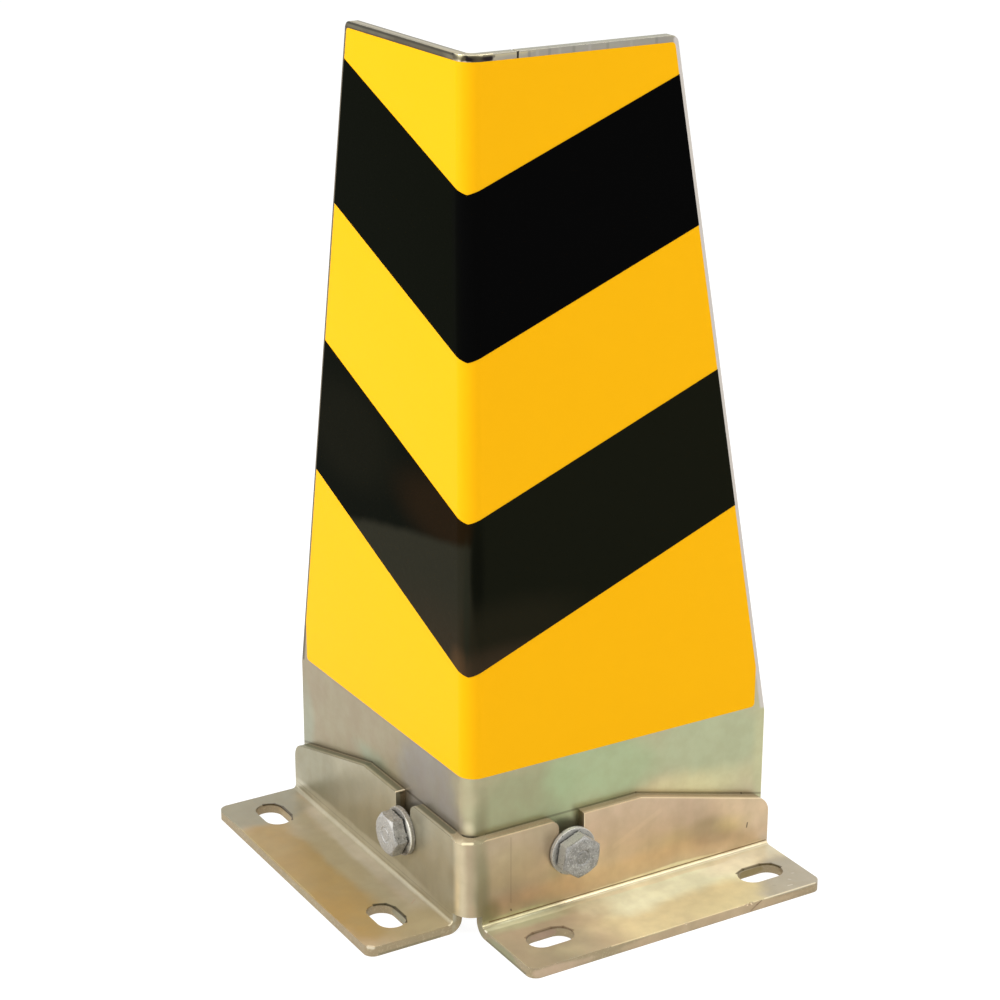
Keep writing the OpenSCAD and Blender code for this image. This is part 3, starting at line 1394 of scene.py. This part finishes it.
    def _washer(self) -> Piece:
        """Models a flat washer that stands on the origin, with rounded rims.

        Returns:
            The washer.
        """
        radius = self.washer_d / 2
        washer = Bench.upright("washer_model", 96, (radius, radius), 0.0, self.washer_t)
        with Bench.editing(washer):
            Bench.pick_faces(washer, lambda face: abs(face.normal.z) > 0.9)
            bpy.ops.mesh.inset(thickness=(self.washer_d - self.washer_bore) / 2 * MM)
            bpy.ops.mesh.bridge_edge_loops()
        Bench.bevel(washer, width=0.35, segments=3, angle=40.0)
        return washer

    def _nut(self) -> Piece:
        """Models a hexagon nut that stands on the origin, with its edges broken.

        Returns:
            The nut.
        """
        nut = self._hexagon(self.nut_h, both_ends=True)
        radius = self.nut_bore / 2
        bore = Bench.upright("nut_bore", 72, (radius, radius), -self.over, self.nut_h + self.over)
        Bench.combine(nut, bore, "DIFFERENCE")
        Bench.bevel(nut, width=0.16, segments=2, angle=25.0)
        return nut


@dataclass(frozen=True)
class Lamp:
    """A soft box that looks at the guard.

    Attributes:
        name: Its name.
        place: Where it hangs, in metres.
        size: Its width and height.
        power: Its power in watts.
    """

    name: str
    place: Point
    size: tuple[float, float]
    power: float

    def build(self, target: Vector) -> None:
        """Hangs the lamp and turns it to a target.

        Args:
            target: The point that it looks at, in metres.
        """
        data = bpy.data.lights.new(self.name, "AREA")
        data.shape = "RECTANGLE"
        data.size, data.size_y = self.size
        data.energy = self.power
        lamp = bpy.data.objects.new(self.name, data)
        bpy.context.scene.collection.objects.link(lamp)
        lamp.location = self.place
        lamp.rotation_euler = (target - lamp.location).to_track_quat("-Z", "Y").to_euler()
        lamp.visible_camera = False


@dataclass(frozen=True)
class Studio:
    """The pale floor, the soft lamps, the white surroundings and the camera.

    Attributes:
        camera_place: Where the camera stands, in metres.
        yaw: Its heading from +Y, turned left, in degrees.
        pitch: Its tilt upwards.
        roll: Its turn about its own line of sight.
        focal_px: Its focal length in pixels of the image.
        image_px: Width of the image in pixels.
        sensor: Width of its sensor in millimetres.
        floor_size: Width of the floor in metres.
        floor_drop: How far the floor lies below the guard, in metres.
        floor_colour: Colour of the floor.
        floor_glow: Strength of the floor's own white where it is seen.
        floor_share: Share of that white in the floor's look.
        ambient: Strength of the surroundings' light on the guard.
        lamps: The soft boxes.
    """

    camera_place: Point = (-0.569806, -0.942647, 0.589301)
    yaw: float = -30.847
    pitch: float = -20.089
    roll: float = 0.107
    focal_px: float = 2486.28
    image_px: float = 1000.0
    sensor: float = 36.0
    floor_size: float = 30.0
    floor_drop: float = 0.0002
    floor_colour: Colour = (0.82, 0.82, 0.81, 1.0)
    floor_glow: float = 1.25
    floor_share: float = 0.72
    ambient: float = 0.42
    lamps: tuple[Lamp, ...] = (
        Lamp("left_softbox", (-1.75, 0.45, 0.85), (0.9, 1.3), 29.0),
        Lamp("right_softbox", (0.9, -2.1, 1.3), (1.3, 1.3), 20.8),
        Lamp("top_softbox", (0.1, -0.1, 2.3), (1.5, 1.5), 30.0),
    )

    def build(self) -> None:
        """Sets up the whole studio."""
        self._camera()
        self._surroundings()
        self._floor()
        low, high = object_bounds()
        for lamp in self.lamps:
            lamp.build((low + high) / 2)
        bpy.context.scene.view_settings.view_transform = "Standard"

    def _camera(self) -> None:
        """Sets the camera at the photograph's viewing angle."""
        data = bpy.data.cameras.new("camera")
        data.sensor_fit = "HORIZONTAL"
        data.sensor_width = self.sensor
        data.lens = self.sensor * self.focal_px / self.image_px
        camera = bpy.data.objects.new("camera", data)
        bpy.context.scene.collection.objects.link(camera)
        camera.matrix_world = (
            Matrix.Translation(self.camera_place)
            @ Matrix.Rotation(math.radians(self.yaw), 4, "Z")
            @ Matrix.Rotation(math.radians(90.0 + self.pitch), 4, "X")
            @ Matrix.Rotation(math.radians(self.roll), 4, "Z")
        )
        bpy.context.scene.camera = camera

    @staticmethod
    def _seen_directly(graph: Graph) -> Socket:
        """Tells rays that look from rays that light.

        Args:
            graph: The graph that asks.

        Returns:
            1 for rays of the camera, of reflections and of transmission, and 0 for light.
        """
        path = graph.node("ShaderNodeLightPath").outputs
        reflected = graph.math("MAXIMUM", path["Is Glossy Ray"], path["Is Transmission Ray"])
        return graph.math("MAXIMUM", path["Is Camera Ray"], reflected)

    def _surroundings(self) -> None:
        """Makes the surroundings white to look at and softer as a light."""
        world = bpy.data.worlds.new("surroundings")
        world.use_nodes = True
        graph = Graph(world.node_tree)
        inputs = {"Value": self._seen_directly(graph), "To Min": self.ambient}
        strength = graph.node("ShaderNodeMapRange", inputs).outputs["Result"]
        white = graph.node("ShaderNodeBackground", {"Color": WHITE, "Strength": strength})
        graph.node("ShaderNodeOutputWorld", {"Surface": white.outputs["Background"]})
        bpy.context.scene.world = world

    def _floor(self) -> None:
        """Lays the pale floor, which shows white but keeps the guard's shadow."""
        bpy.ops.object.select_all(action="DESELECT")
        bpy.ops.mesh.primitive_plane_add(size=self.floor_size, location=(0.0, 0.0, -self.floor_drop))
        floor = Bench.started("floor")
        material = bpy.data.materials.new("pale_floor")
        material.use_nodes = True
        graph = Graph(material.node_tree)
        share = graph.math("MULTIPLY", self._seen_directly(graph), self.floor_share)
        matt = graph.node("ShaderNodeBsdfDiffuse", {"Color": self.floor_colour})
        glow = graph.node("ShaderNodeEmission", {"Color": WHITE, "Strength": self.floor_glow})
        layers = {0: share, 1: matt.outputs["BSDF"], 2: glow.outputs["Emission"]}
        blend = graph.node("ShaderNodeMixShader", layers)
        graph.node("ShaderNodeOutputMaterial", {"Surface": blend.outputs["Shader"]})
        floor.data.materials.append(material)
        floor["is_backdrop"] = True


# Fields of colour on the guard plate, the last one on top
PLATE_PATCHES = (
    Patch(FIRST, (34, 0, 60), (40, 12, 34), "959977", 0.85, 0.5),
    Patch(FIRST, (78, 0, 66), (52, 12, 30), "a0b38b", 0.8, 0.4),
    Patch(FIRST, (142, 0, 66), (52, 12, 30), "aab28f", 0.8, 0.4),
    Patch(FIRST, (128, 0, 45), (52, 12, 12), "dacf9e", 0.7, 0.2),
    Patch(FIRST, (167, 0, 50), (7, 8, 40), "bdbc94", 0.8),
    # The second wing's tone all over, darker than the first's: partly the chromate, partly painted
    # reflection of darker surroundings
    Patch(SECOND, (100, 0, 150), (120, 16, 900), "978971", 0.85, 0.6),
    Patch(SECOND, (34, 0, 62), (36, 12, 40), "8f8984", 0.85, 0.4),
    Patch(SECOND, (92, 0, 52), (24, 8, 9), "8f9c86", 0.6),
    Patch(SECOND, (165, 0, 44), (12, 8, 30), "9aa28f", 0.6),
    # The plate's bend: painted dark reflection on its first-wing side, then a painted highlight and a
    # painted glow on its second-wing side
    Patch(FIRST, (8.5, -0.8, 40), (6.5, 5, 60), "827d60", 0.9, 0.2),
    Patch(SECOND, (1.6, -2.0, 50), (4.5, 5, 60), "c2bb99", 0.7, 0.1),
    Patch(SECOND, (2.0, -1.8, 53), (5, 5, 7), "e6dcba", 0.7, 0.1),
    Patch(SECOND, (60, 0.6, 408), (80, 1.6, 3.6), "4e483a", 0.95, 0.8),
    Patch(FIRST, (66, 0.6, 408), (62, 1.6, 3.6), "8e8a84", 0.95, 0.8),
    Patch(FIRST, (66, -3, 410.4), (76, 3.4, 1.4), "89897c", 0.9, 0.7),
    Patch(SECOND, (60, -3, 410.4), (80, 3.4, 1.4), "7f7a6c", 0.9, 0.7),
    # At the top of the outer corner: painted shade to its first-wing side, and a painted highlight on
    # the corner itself
    Patch(FIRST, (5.5, -1.2, 407.8), (10, 4.4, 2.3), "2a1f1a", 0.95, 0.7),
    Patch(FIRST, (2.6, -2.4, 407.0), (2.6, 2.6, 0.8), "d8c8ac", 0.8, 0.4),
)

# Each anchor slot: its wing and place along it, then colour and strength of the painted shade along its
# rim and of its wall
FLANGE_SLOTS = (
    (FIRST, 28, "66523c", 0.7, "ad9280", 0.8),
    (FIRST, 148, "4e4020", 0.85, "8d7c52", 0.9),
    (SECOND, 28, "3c3624", 0.9, "8c8a76", 0.8),
    (SECOND, 148, "463a24", 0.9, "b09c78", 0.8),
)

# Places along and out from a slot's middle, and the height, of the rim that the marks follow
SLOT_RIM = ((-10.2, 22.8), (-5, 20.6), (5, 20.6), (10.2, 22.8), (12.3, 28))
RIM_HEIGHT = 4.8
RIM_WIDTH = 1.0

# Fields of colour on the bracket, the last one on top
BRACKET_PATCHES = (
    Patch(FIRST, (110, 5, 32), (86, 3, 36), "cbb196", 0.9, 0.6),
    Patch(FIRST, (152, 5, 30), (34, 3, 26), "d6bc98", 0.75, 0.2),
    Patch(FIRST, (118, 5, 22), (40, 3, 9), "b09a68", 0.4, 0.1),
    Patch(FIRST, (146, 5, 23), (16, 3, 8), "e0c88c", 0.5, 0.1),
    Patch(FIRST, (131, 5, 27), (12, 3, 5), "94845a", 0.35, 0.1),
    Patch(FIRST, (20, 5, 34), (22, 3, 20), "b8a682", 0.6),
    Patch(FIRST, (70, 5, 15), (110, 4, 9), "cba57c", 0.6, 0.2),
    Patch(FIRST, (108, 30, 5.4), (92, 50, 1.6), "d6c99e", 1.0, 0.5),
    # Paler fields on the first flange by the wall: painted highlight
    Patch(FIRST, (102, 15, 5.4), (66, 20, 1.6), "eef4d6", 0.9, 0.45),
    Patch(FIRST, (144, 12, 5.4), (34, 18, 1.6), "fcf6da", 0.85, 0.3),
    Patch(FIRST, (10, 34, 5.4), (38, 44, 1.6), "958770", 0.85, 0.3),
    Patch(FIRST, (26, 10.5, 5.4), (32, 6.5, 1.6), "b2b692", 0.85, 0.3),
    Patch(FIRST, (168, 48, 5.4), (42, 35, 1.6), "aea592", 0.95, 0.7),
    Patch(SECOND, (90, 5, 30), (110, 3, 50), "b1ab93", 0.9, 0.8),
    Patch(SECOND, (28, 5, 30), (44, 3, 34), "c2bca6", 0.8),
    Patch(SECOND, (150, 5, 32), (44, 3, 34), "959078", 0.8),
    Patch(SECOND, (84, 38, 5.4), (86, 28, 1.6), "a08348", 0.9, 0.6),
    Patch(SECOND, (84, 20, 5.4), (84, 11, 1.6), "a2977a", 0.85, 0.5),
    Patch(SECOND, (84, 9, 5.4), (84, 8, 1.6), "b9af9c", 0.85, 0.5),
    Patch(SECOND, (14, 20, 5.4), (20, 34, 1.6), "a5936c", 0.75, 0.3),
    Patch(SECOND, (170, 34, 5.4), (38, 44, 1.6), "8f8a76", 0.95, 0.7),
    # The bracket's bend: painted dark reflection on its first-wing side and a painted highlight on its
    # second-wing side
    Patch(FIRST, (5.2, 4.4, 30), (6.5, 5, 70), "8f896c", 0.95, 0.25),
    Patch(SECOND, (0.6, 3.4, 30), (5.4, 4.6, 70), "d2c4a4", 0.95, 0.25),
    # Painted highlight along the first fold and on the flange beside it
    Patch(FIRST, (104, 6.8, 6.6), (74, 4.4, 3.2), "eee2be", 0.9, 0.7),
    Patch(FIRST, (22, 6.6, 6.6), (30, 4.2, 3.2), "bcb48e", 0.85, 0.5),
    Patch(FIRST, (30, 8.0, 5), (34, 2.8, 1), "deddba", 0.85, 0.6),
    # Painted highlight on the second wall just above its fold
    Patch(SECOND, (86, 5, 9.6), (104, 3, 4.4), "d2ccb6", 0.85, 0.6),
    # Painted shade low by the corner relief
    Patch(FIRST, (10, 5, 13), (7, 3, 10), "77754f", 0.6, 0.2),
    Patch(FIRST, (104, 49.5, 2.2), (74, 1.4, 3), "baa486", 0.85, 0.6),
    Patch(FIRST, (18, 49.5, 2.2), (24, 3, 3), "bfa78e", 0.8, 0.5),
    Patch(FIRST, (4.6, 26, 2.2), (1.4, 20, 3), "8c8c6c", 0.85, 0.6),
    Patch(SECOND, (86, 6.0, 6.0), (100, 2.2, 2.2), "b3aa92", 0.85, 0.5),
    *(
        Patch(wing, (along, 20.6, 2.4), (14, 1.2, 2.4), colour, strength, 0.6)
        for wing, along, _, _, colour, strength in FLANGE_SLOTS
    ),
)

# Fields of colour on the fasteners: the bolts' sides, painted highlights on the washers' rims and
# painted shadow in the gaps between heads and washers
BOLT_PATCHES = (
    # Painted light: the head on the second wing is paler, for the stronger light on that side
    Patch(SECOND, (52.3, 15, 33), (14, 2.6, 14), "a7a5a0", 0.9, 0.5),
    Patch(FIRST, (53.7, 11, 33), (40, 3.4, 40), "b6b5ac", 0.8, 0.7),
    Patch(FIRST, (53.7, 15, 33), (5.5, 0.8, 5.5), "6f6e69", 0.6, 0.3),
    # Painted highlights on the washers' rims
    Patch(FIRST, (53.7, 6.6, 33), (40, 1.1, 40), "d8d6ce", 0.85, 0.85),
    Patch(SECOND, (52.3, 6.6, 33), (40, 1.1, 40), "a09a90", 0.8, 0.85),
    # Painted shadow in the gaps under the heads, and a painted glint on the second washer's rim
    Patch(FIRST, (53.7, 8.15, 33), (40, 0.8, 40), "0d0c0b", 1.0, 0.6),
    Patch(SECOND, (43.0, 7.4, 35), (6, 0.8, 10), "fffdf0", 1.0, 0.6),
    Patch(SECOND, (52.3, 8.15, 33), (40, 0.8, 40), "0d0c0b", 1.0, 0.6),
)

# Painted reflection on the bands' black: near black high up, lighter lower down and most on the second
# wing, with a warm painted sheen by the outer corner
PRINT_REFLECTION_PATCHES = (
    Patch(FIRST, (80, 0, 350), (240, 30, 90), "070707", 1.0, 0.9),
    Patch(SECOND, (102, 0, 300), (100, 9, 400), "090b05", 1.0, 0.9),
    Patch(SECOND, (110, 0, 215), (60, 9, 34), "12120a", 0.9, 0.4),
    Patch(SECOND, (20, 0, 203), (60, 9, 24), "1f1509", 0.9, 0.3),
    Patch(SECOND, (-184, 0, 107.5), (400, 40, 100), "27261d", 1.0, 0.955),
    Patch(SECOND, (14, 0, 120), (100, 40, 54), "30291e", 0.9, 0.3),
    Patch(FIRST, (42, 0, 180), (40, 30, 90), "16170f", 1.0, 0.95),
    Patch(FIRST, (6, -1, 180), (5, 4, 50), "0d0e09", 0.8, 0.3),
    Patch(FIRST, (22, 0, 148), (60, 8, 24), "211f15", 0.85, 0.3),
    Patch(FIRST, (20, 0, 132), (42, 8, 16), "362c20", 0.85, 0.3),
    Patch(SECOND, (8, -0.5, 134), (9, 7, 14), "4a3826", 0.9, 0.2),
    Patch(FIRST, (1.2, -2.2, 165), (2.4, 2.4, 40), "23241b", 0.8, 0.3),
)

# Upright streaks at the first wing's top edge: place along it and colour
TOP_STREAKS = (
    (31, "6e6c66"),
    (35, "a09c90"),
    (41, "73706a"),
    (46, "9c9a8c"),
    (53, "77736a"),
    (61, "a39c94"),
    (70, "78766a"),
    (82, "9e9a8c"),
    (95, "75726a"),
)

# Marks on the bracket: scratches, edges, painted light and shade at the folds, dents, specks and
# painted shade along the slots' rims
BRACKET_MARKS = (
    Mark(FIRST, (20.5, 5, 48), (20.6, 5, 14), 0.28, 0.3),
    Mark(FIRST, (20.6, 5, 10.4), (20.8, 5, 9.8), 0.6),
    Mark(FIRST, (156.1, 5, 17.4), (156.5, 5, 19.6), 0.55, 0.75),
    Mark(FIRST, (78, 5, 28), (104, 5, 40), 1.8, 0.1, "ecd0aa"),
    Mark(SECOND, (32.0, 12, 5), (34.5, 9, 5), 0.4, 0.4, "b08070"),
    Mark(FIRST, (10, 2.3, 50), (93, 2.3, 50), 1.7, 0.4, "a08664"),
    Mark(FIRST, (93, 2.3, 50), (169, 2.3, 30), 1.7, 0.4, "a08664"),
    Mark(SECOND, (10, 2.0, 50), (93, 2.0, 50), 2.2, 0.8, "5a5a44"),
    Mark(SECOND, (93, 2.0, 50), (169, 2.0, 30), 2.2, 0.8, "52543f"),
    Mark(FIRST, (6, 5, 50), (93, 5, 50), 0.6, 0.45, "ecd2a8"),
    Mark(FIRST, (93, 5, 50), (169, 5, 30), 0.6, 0.65, "f6e2ba"),
    Mark(SECOND, (6, 5, 50), (93, 5, 50), 0.5, 0.4, "6a6450"),
    Mark(SECOND, (93, 5, 50), (169, 5, 30), 0.5, 0.6, "5e5a44"),
    # The first fold: a painted line of shade above it and painted shade along its curve
    Mark(FIRST, (9, 5, 7.1), (168, 5, 7.1), 0.45, 0.9, "6e563a"),
    Mark(FIRST, (50, 5.6, 5.8), (168, 5.6, 5.8), 0.8, 0.55, "b0a080"),
    Mark(FIRST, (10, 5.5, 5.8), (50, 5.5, 5.8), 0.7, 0.5, "8c8462"),
    # The second fold: a painted line of shade above it and a painted highlight along its curve
    Mark(SECOND, (7, 5, 9.4), (168, 5, 9.4), 0.4, 0.3, "7a7058"),
    Mark(SECOND, (6, 5.4, 6.6), (168, 5.4, 6.6), 0.5, 0.5, "ded4ba"),
    # Painted glints at the folds' near ends
    Mark(FIRST, (4.9, 7.8, 5), (4.9, 9, 5), 0.9, 0.8, "fffae6"),
    Mark(SECOND, (5.2, 5.7, 6.4), (4.9, 6.8, 5.4), 1.1, 0.8, "fff4d2"),
    Mark(FIRST, (4.9, 9, 0.6), (4.9, 44, 0.6), 0.9, 0.6, "66654e"),
    Mark(FIRST, (5.2, 10, 5), (5.2, 44, 5), 0.5, 0.25, "b4b08a"),
    Mark(SECOND, (5, 12, 0.6), (5, 44, 0.6), 0.9, 0.5, "6e6a52"),
    Mark(FIRST, (48, 49.4, 5), (131, 49.4, 5), 0.5, 0.6, "e9d8ae"),
    Mark(FIRST, (135, 49.4, 5), (165, 49.4, 5), 0.6, 0.7, "f0e4c4"),
    Mark(FIRST, (133, 49.4, 4.4), (130.4, 49.4, 3.0), 0.5, 0.6, "5a4028"),
    Mark(FIRST, (130.4, 49.4, 3.0), (127, 49.4, 0.8), 0.6, 0.45, "6a4c34"),
    Mark(SECOND, (60, 49.4, 5), (150, 49.4, 5), 0.5, 0.3, "b5ad80"),
    Mark(SECOND, (7.4, 48.2, 4.6), (5.9, 46.6, 4.6), 1.3, 0.6, "f0e6cc"),
    Mark(FIRST, (156, 40, 5), (156.8, 40.8, 5), 0.5, 0.4, "dcd8cc"),
    Mark(FIRST, (161, 36, 5), (162, 36.3, 5), 0.5, 0.35, "dcd8cc"),
    Mark(FIRST, (152, 45, 5), (154.4, 45.2, 5), 0.45, 0.45, "e6e0d2"),
    Mark(FIRST, (146, 41, 5), (146.8, 41.8, 5), 0.5, 0.35, "8a8476"),
    Mark(FIRST, (-2.4, 0.4, 48.9), (1.0, 2.8, 48.9), 1.2, 0.75, "f8ecc8"),
    Mark(FIRST, (60.7, 5, 50), (60.7, 5, 33), 0.55, 0.7, "f4e4c0"),
    Mark(SECOND, (59.6, 5, 50), (59.6, 0, 50), 0.8, 0.9, "fff0d0"),
    # Painted shade along the upper rim inside each slot
    *(
        Mark(wing, (along + a, b, RIM_HEIGHT), (along + c, d, RIM_HEIGHT), RIM_WIDTH, strength, colour)
        for wing, along, colour, strength, _, _ in FLANGE_SLOTS
        for (a, b), (c, d) in zip(SLOT_RIM, SLOT_RIM[1:])
    ),
)

# Marks on the guard plate: its margins, a painted shadow along the bracket's contact line, the top edge
# with painted shade by the outer corner, and the nick
PLATE_MARKS = (
    Mark(FIRST, (155.6, 0, 34.2), (155.9, 0, 33.6), 0.6, 0.7),
    Mark(FIRST, (166.6, 0, 79), (105.4, 0, 408), 2.2, 0.8, "c4beba"),
    Mark(SECOND, (166.6, 0, 79), (105.4, 0, 408), 2.2, 0.9, "5e5340"),
    # Painted shadow where the bracket's top edge meets the plate
    Mark(FIRST, (10, 0, 50.4), (93, 0, 50.4), 0.8, 0.45),
    Mark(FIRST, (93, 0, 50.4), (169, 0, 30.6), 0.8, 0.45),
    Mark(SECOND, (10, 0, 50.4), (93, 0, 50.4), 0.9, 0.6),
    Mark(SECOND, (93, 0, 50.4), (169, 0, 30.6), 0.9, 0.5),
    *(Mark(FIRST, (a, 0, 407), (a, 0, 409.6), 1.0, 0.5, colour) for a, colour in TOP_STREAKS),
    Mark(FIRST, (14, 0, 410), (106, 0, 410), 0.7, 0.8, "8c8980"),
    Mark(SECOND, (10, 0, 409.5), (106, 0, 409.5), 0.8, 0.9, "343022"),
    Mark(SECOND, (10, 0, 407.2), (106, 0, 407.2), 0.6, 0.6, "3c3320"),
    Mark(SECOND, (9, -2.4, 410), (106, -2.4, 410), 0.9, 0.8, "a39b86"),
    Mark(SECOND, (10, 0, 409.5), (2.3, -2.3, 409.2), 0.8, 0.9, "24201c"),
    Mark(SECOND, (60, 0, 408.4), (9, 0, 408.4), 1.4, 0.45, "453c2c"),
    Mark(SECOND, (9, 0, 408.4), (3.4, -1.6, 408.4), 1.4, 0.75, "4a4230"),
    # Painted shade beside the top of the outer corner, on the first wing
    Mark(FIRST, (2.6, -2.1, 408.1), (12.5, 0, 408.1), 1.4, 0.95, "181014"),
    Mark(FIRST, (9, 0, 409.2), (14, 0, 408.8), 0.8, 0.6, "1e1a1a"),
    Mark(SECOND, (8, -4.7, 410), (106, -4.7, 410), 0.7, 0.7, "4f4a40"),
    Mark(FIRST, (8, -4.7, 410), (106, -4.7, 410), 0.7, 0.6, "5a564b"),
    Mark(FIRST, (25.5, 0, 407.0), (25.5, 0, 410.2), 0.8, 1.0, "1c1712"),
    Mark(FIRST, (25.5, 0, 410.0), (25.5, -5, 410.0), 0.55, 0.9),
)


def main() -> None:
    """Builds the studio, the finishes and every piece of the guard in order."""
    logging.basicConfig(level=logging.INFO, format="%(name)s: %(message)s")
    site = Site.from_frame()
    Studio().build()
    effects = Effects()
    plate_zinc = ChromatedZinc(
        "plate_zinc", PLATE_PATCHES, PLATE_MARKS, ground="b5aa89", green="abb08c", pink="b8a48a"
    ).build(site, effects)
    bracket_zinc = ChromatedZinc(
        "bracket_zinc",
        BRACKET_PATCHES,
        BRACKET_MARKS,
        ground="b5a287",
        green="a9a583",
        pink="bd9f88",
        smears=0.13,
    ).build(site, effects)
    yellow = FilmFinish("yellow_film", "fab70a", "fab90e", (), roughness=0.30, shine=0.03)
    black = FilmFinish("black_film", "16170f", "17170f", PRINT_REFLECTION_PATCHES, roughness=0.24, shine=0.003)
    skins = [finish.build(site, effects) for finish in (yellow, black)]
    zinc = BrightZinc("bright_zinc", BOLT_PATCHES).build(site, effects)
    GuardPlate().build(site, plate_zinc)
    BaseBracket().build(site, bracket_zinc)
    WarningSkin().build(*skins)
    stations = [
        BoltStation.from_frame(site, FIRST, turn=22.0),
        BoltStation.from_frame(site, SECOND, turn=4.0),
    ]
    Fasteners().build(site, stations, zinc)


if __name__ == "__main__":
    main()
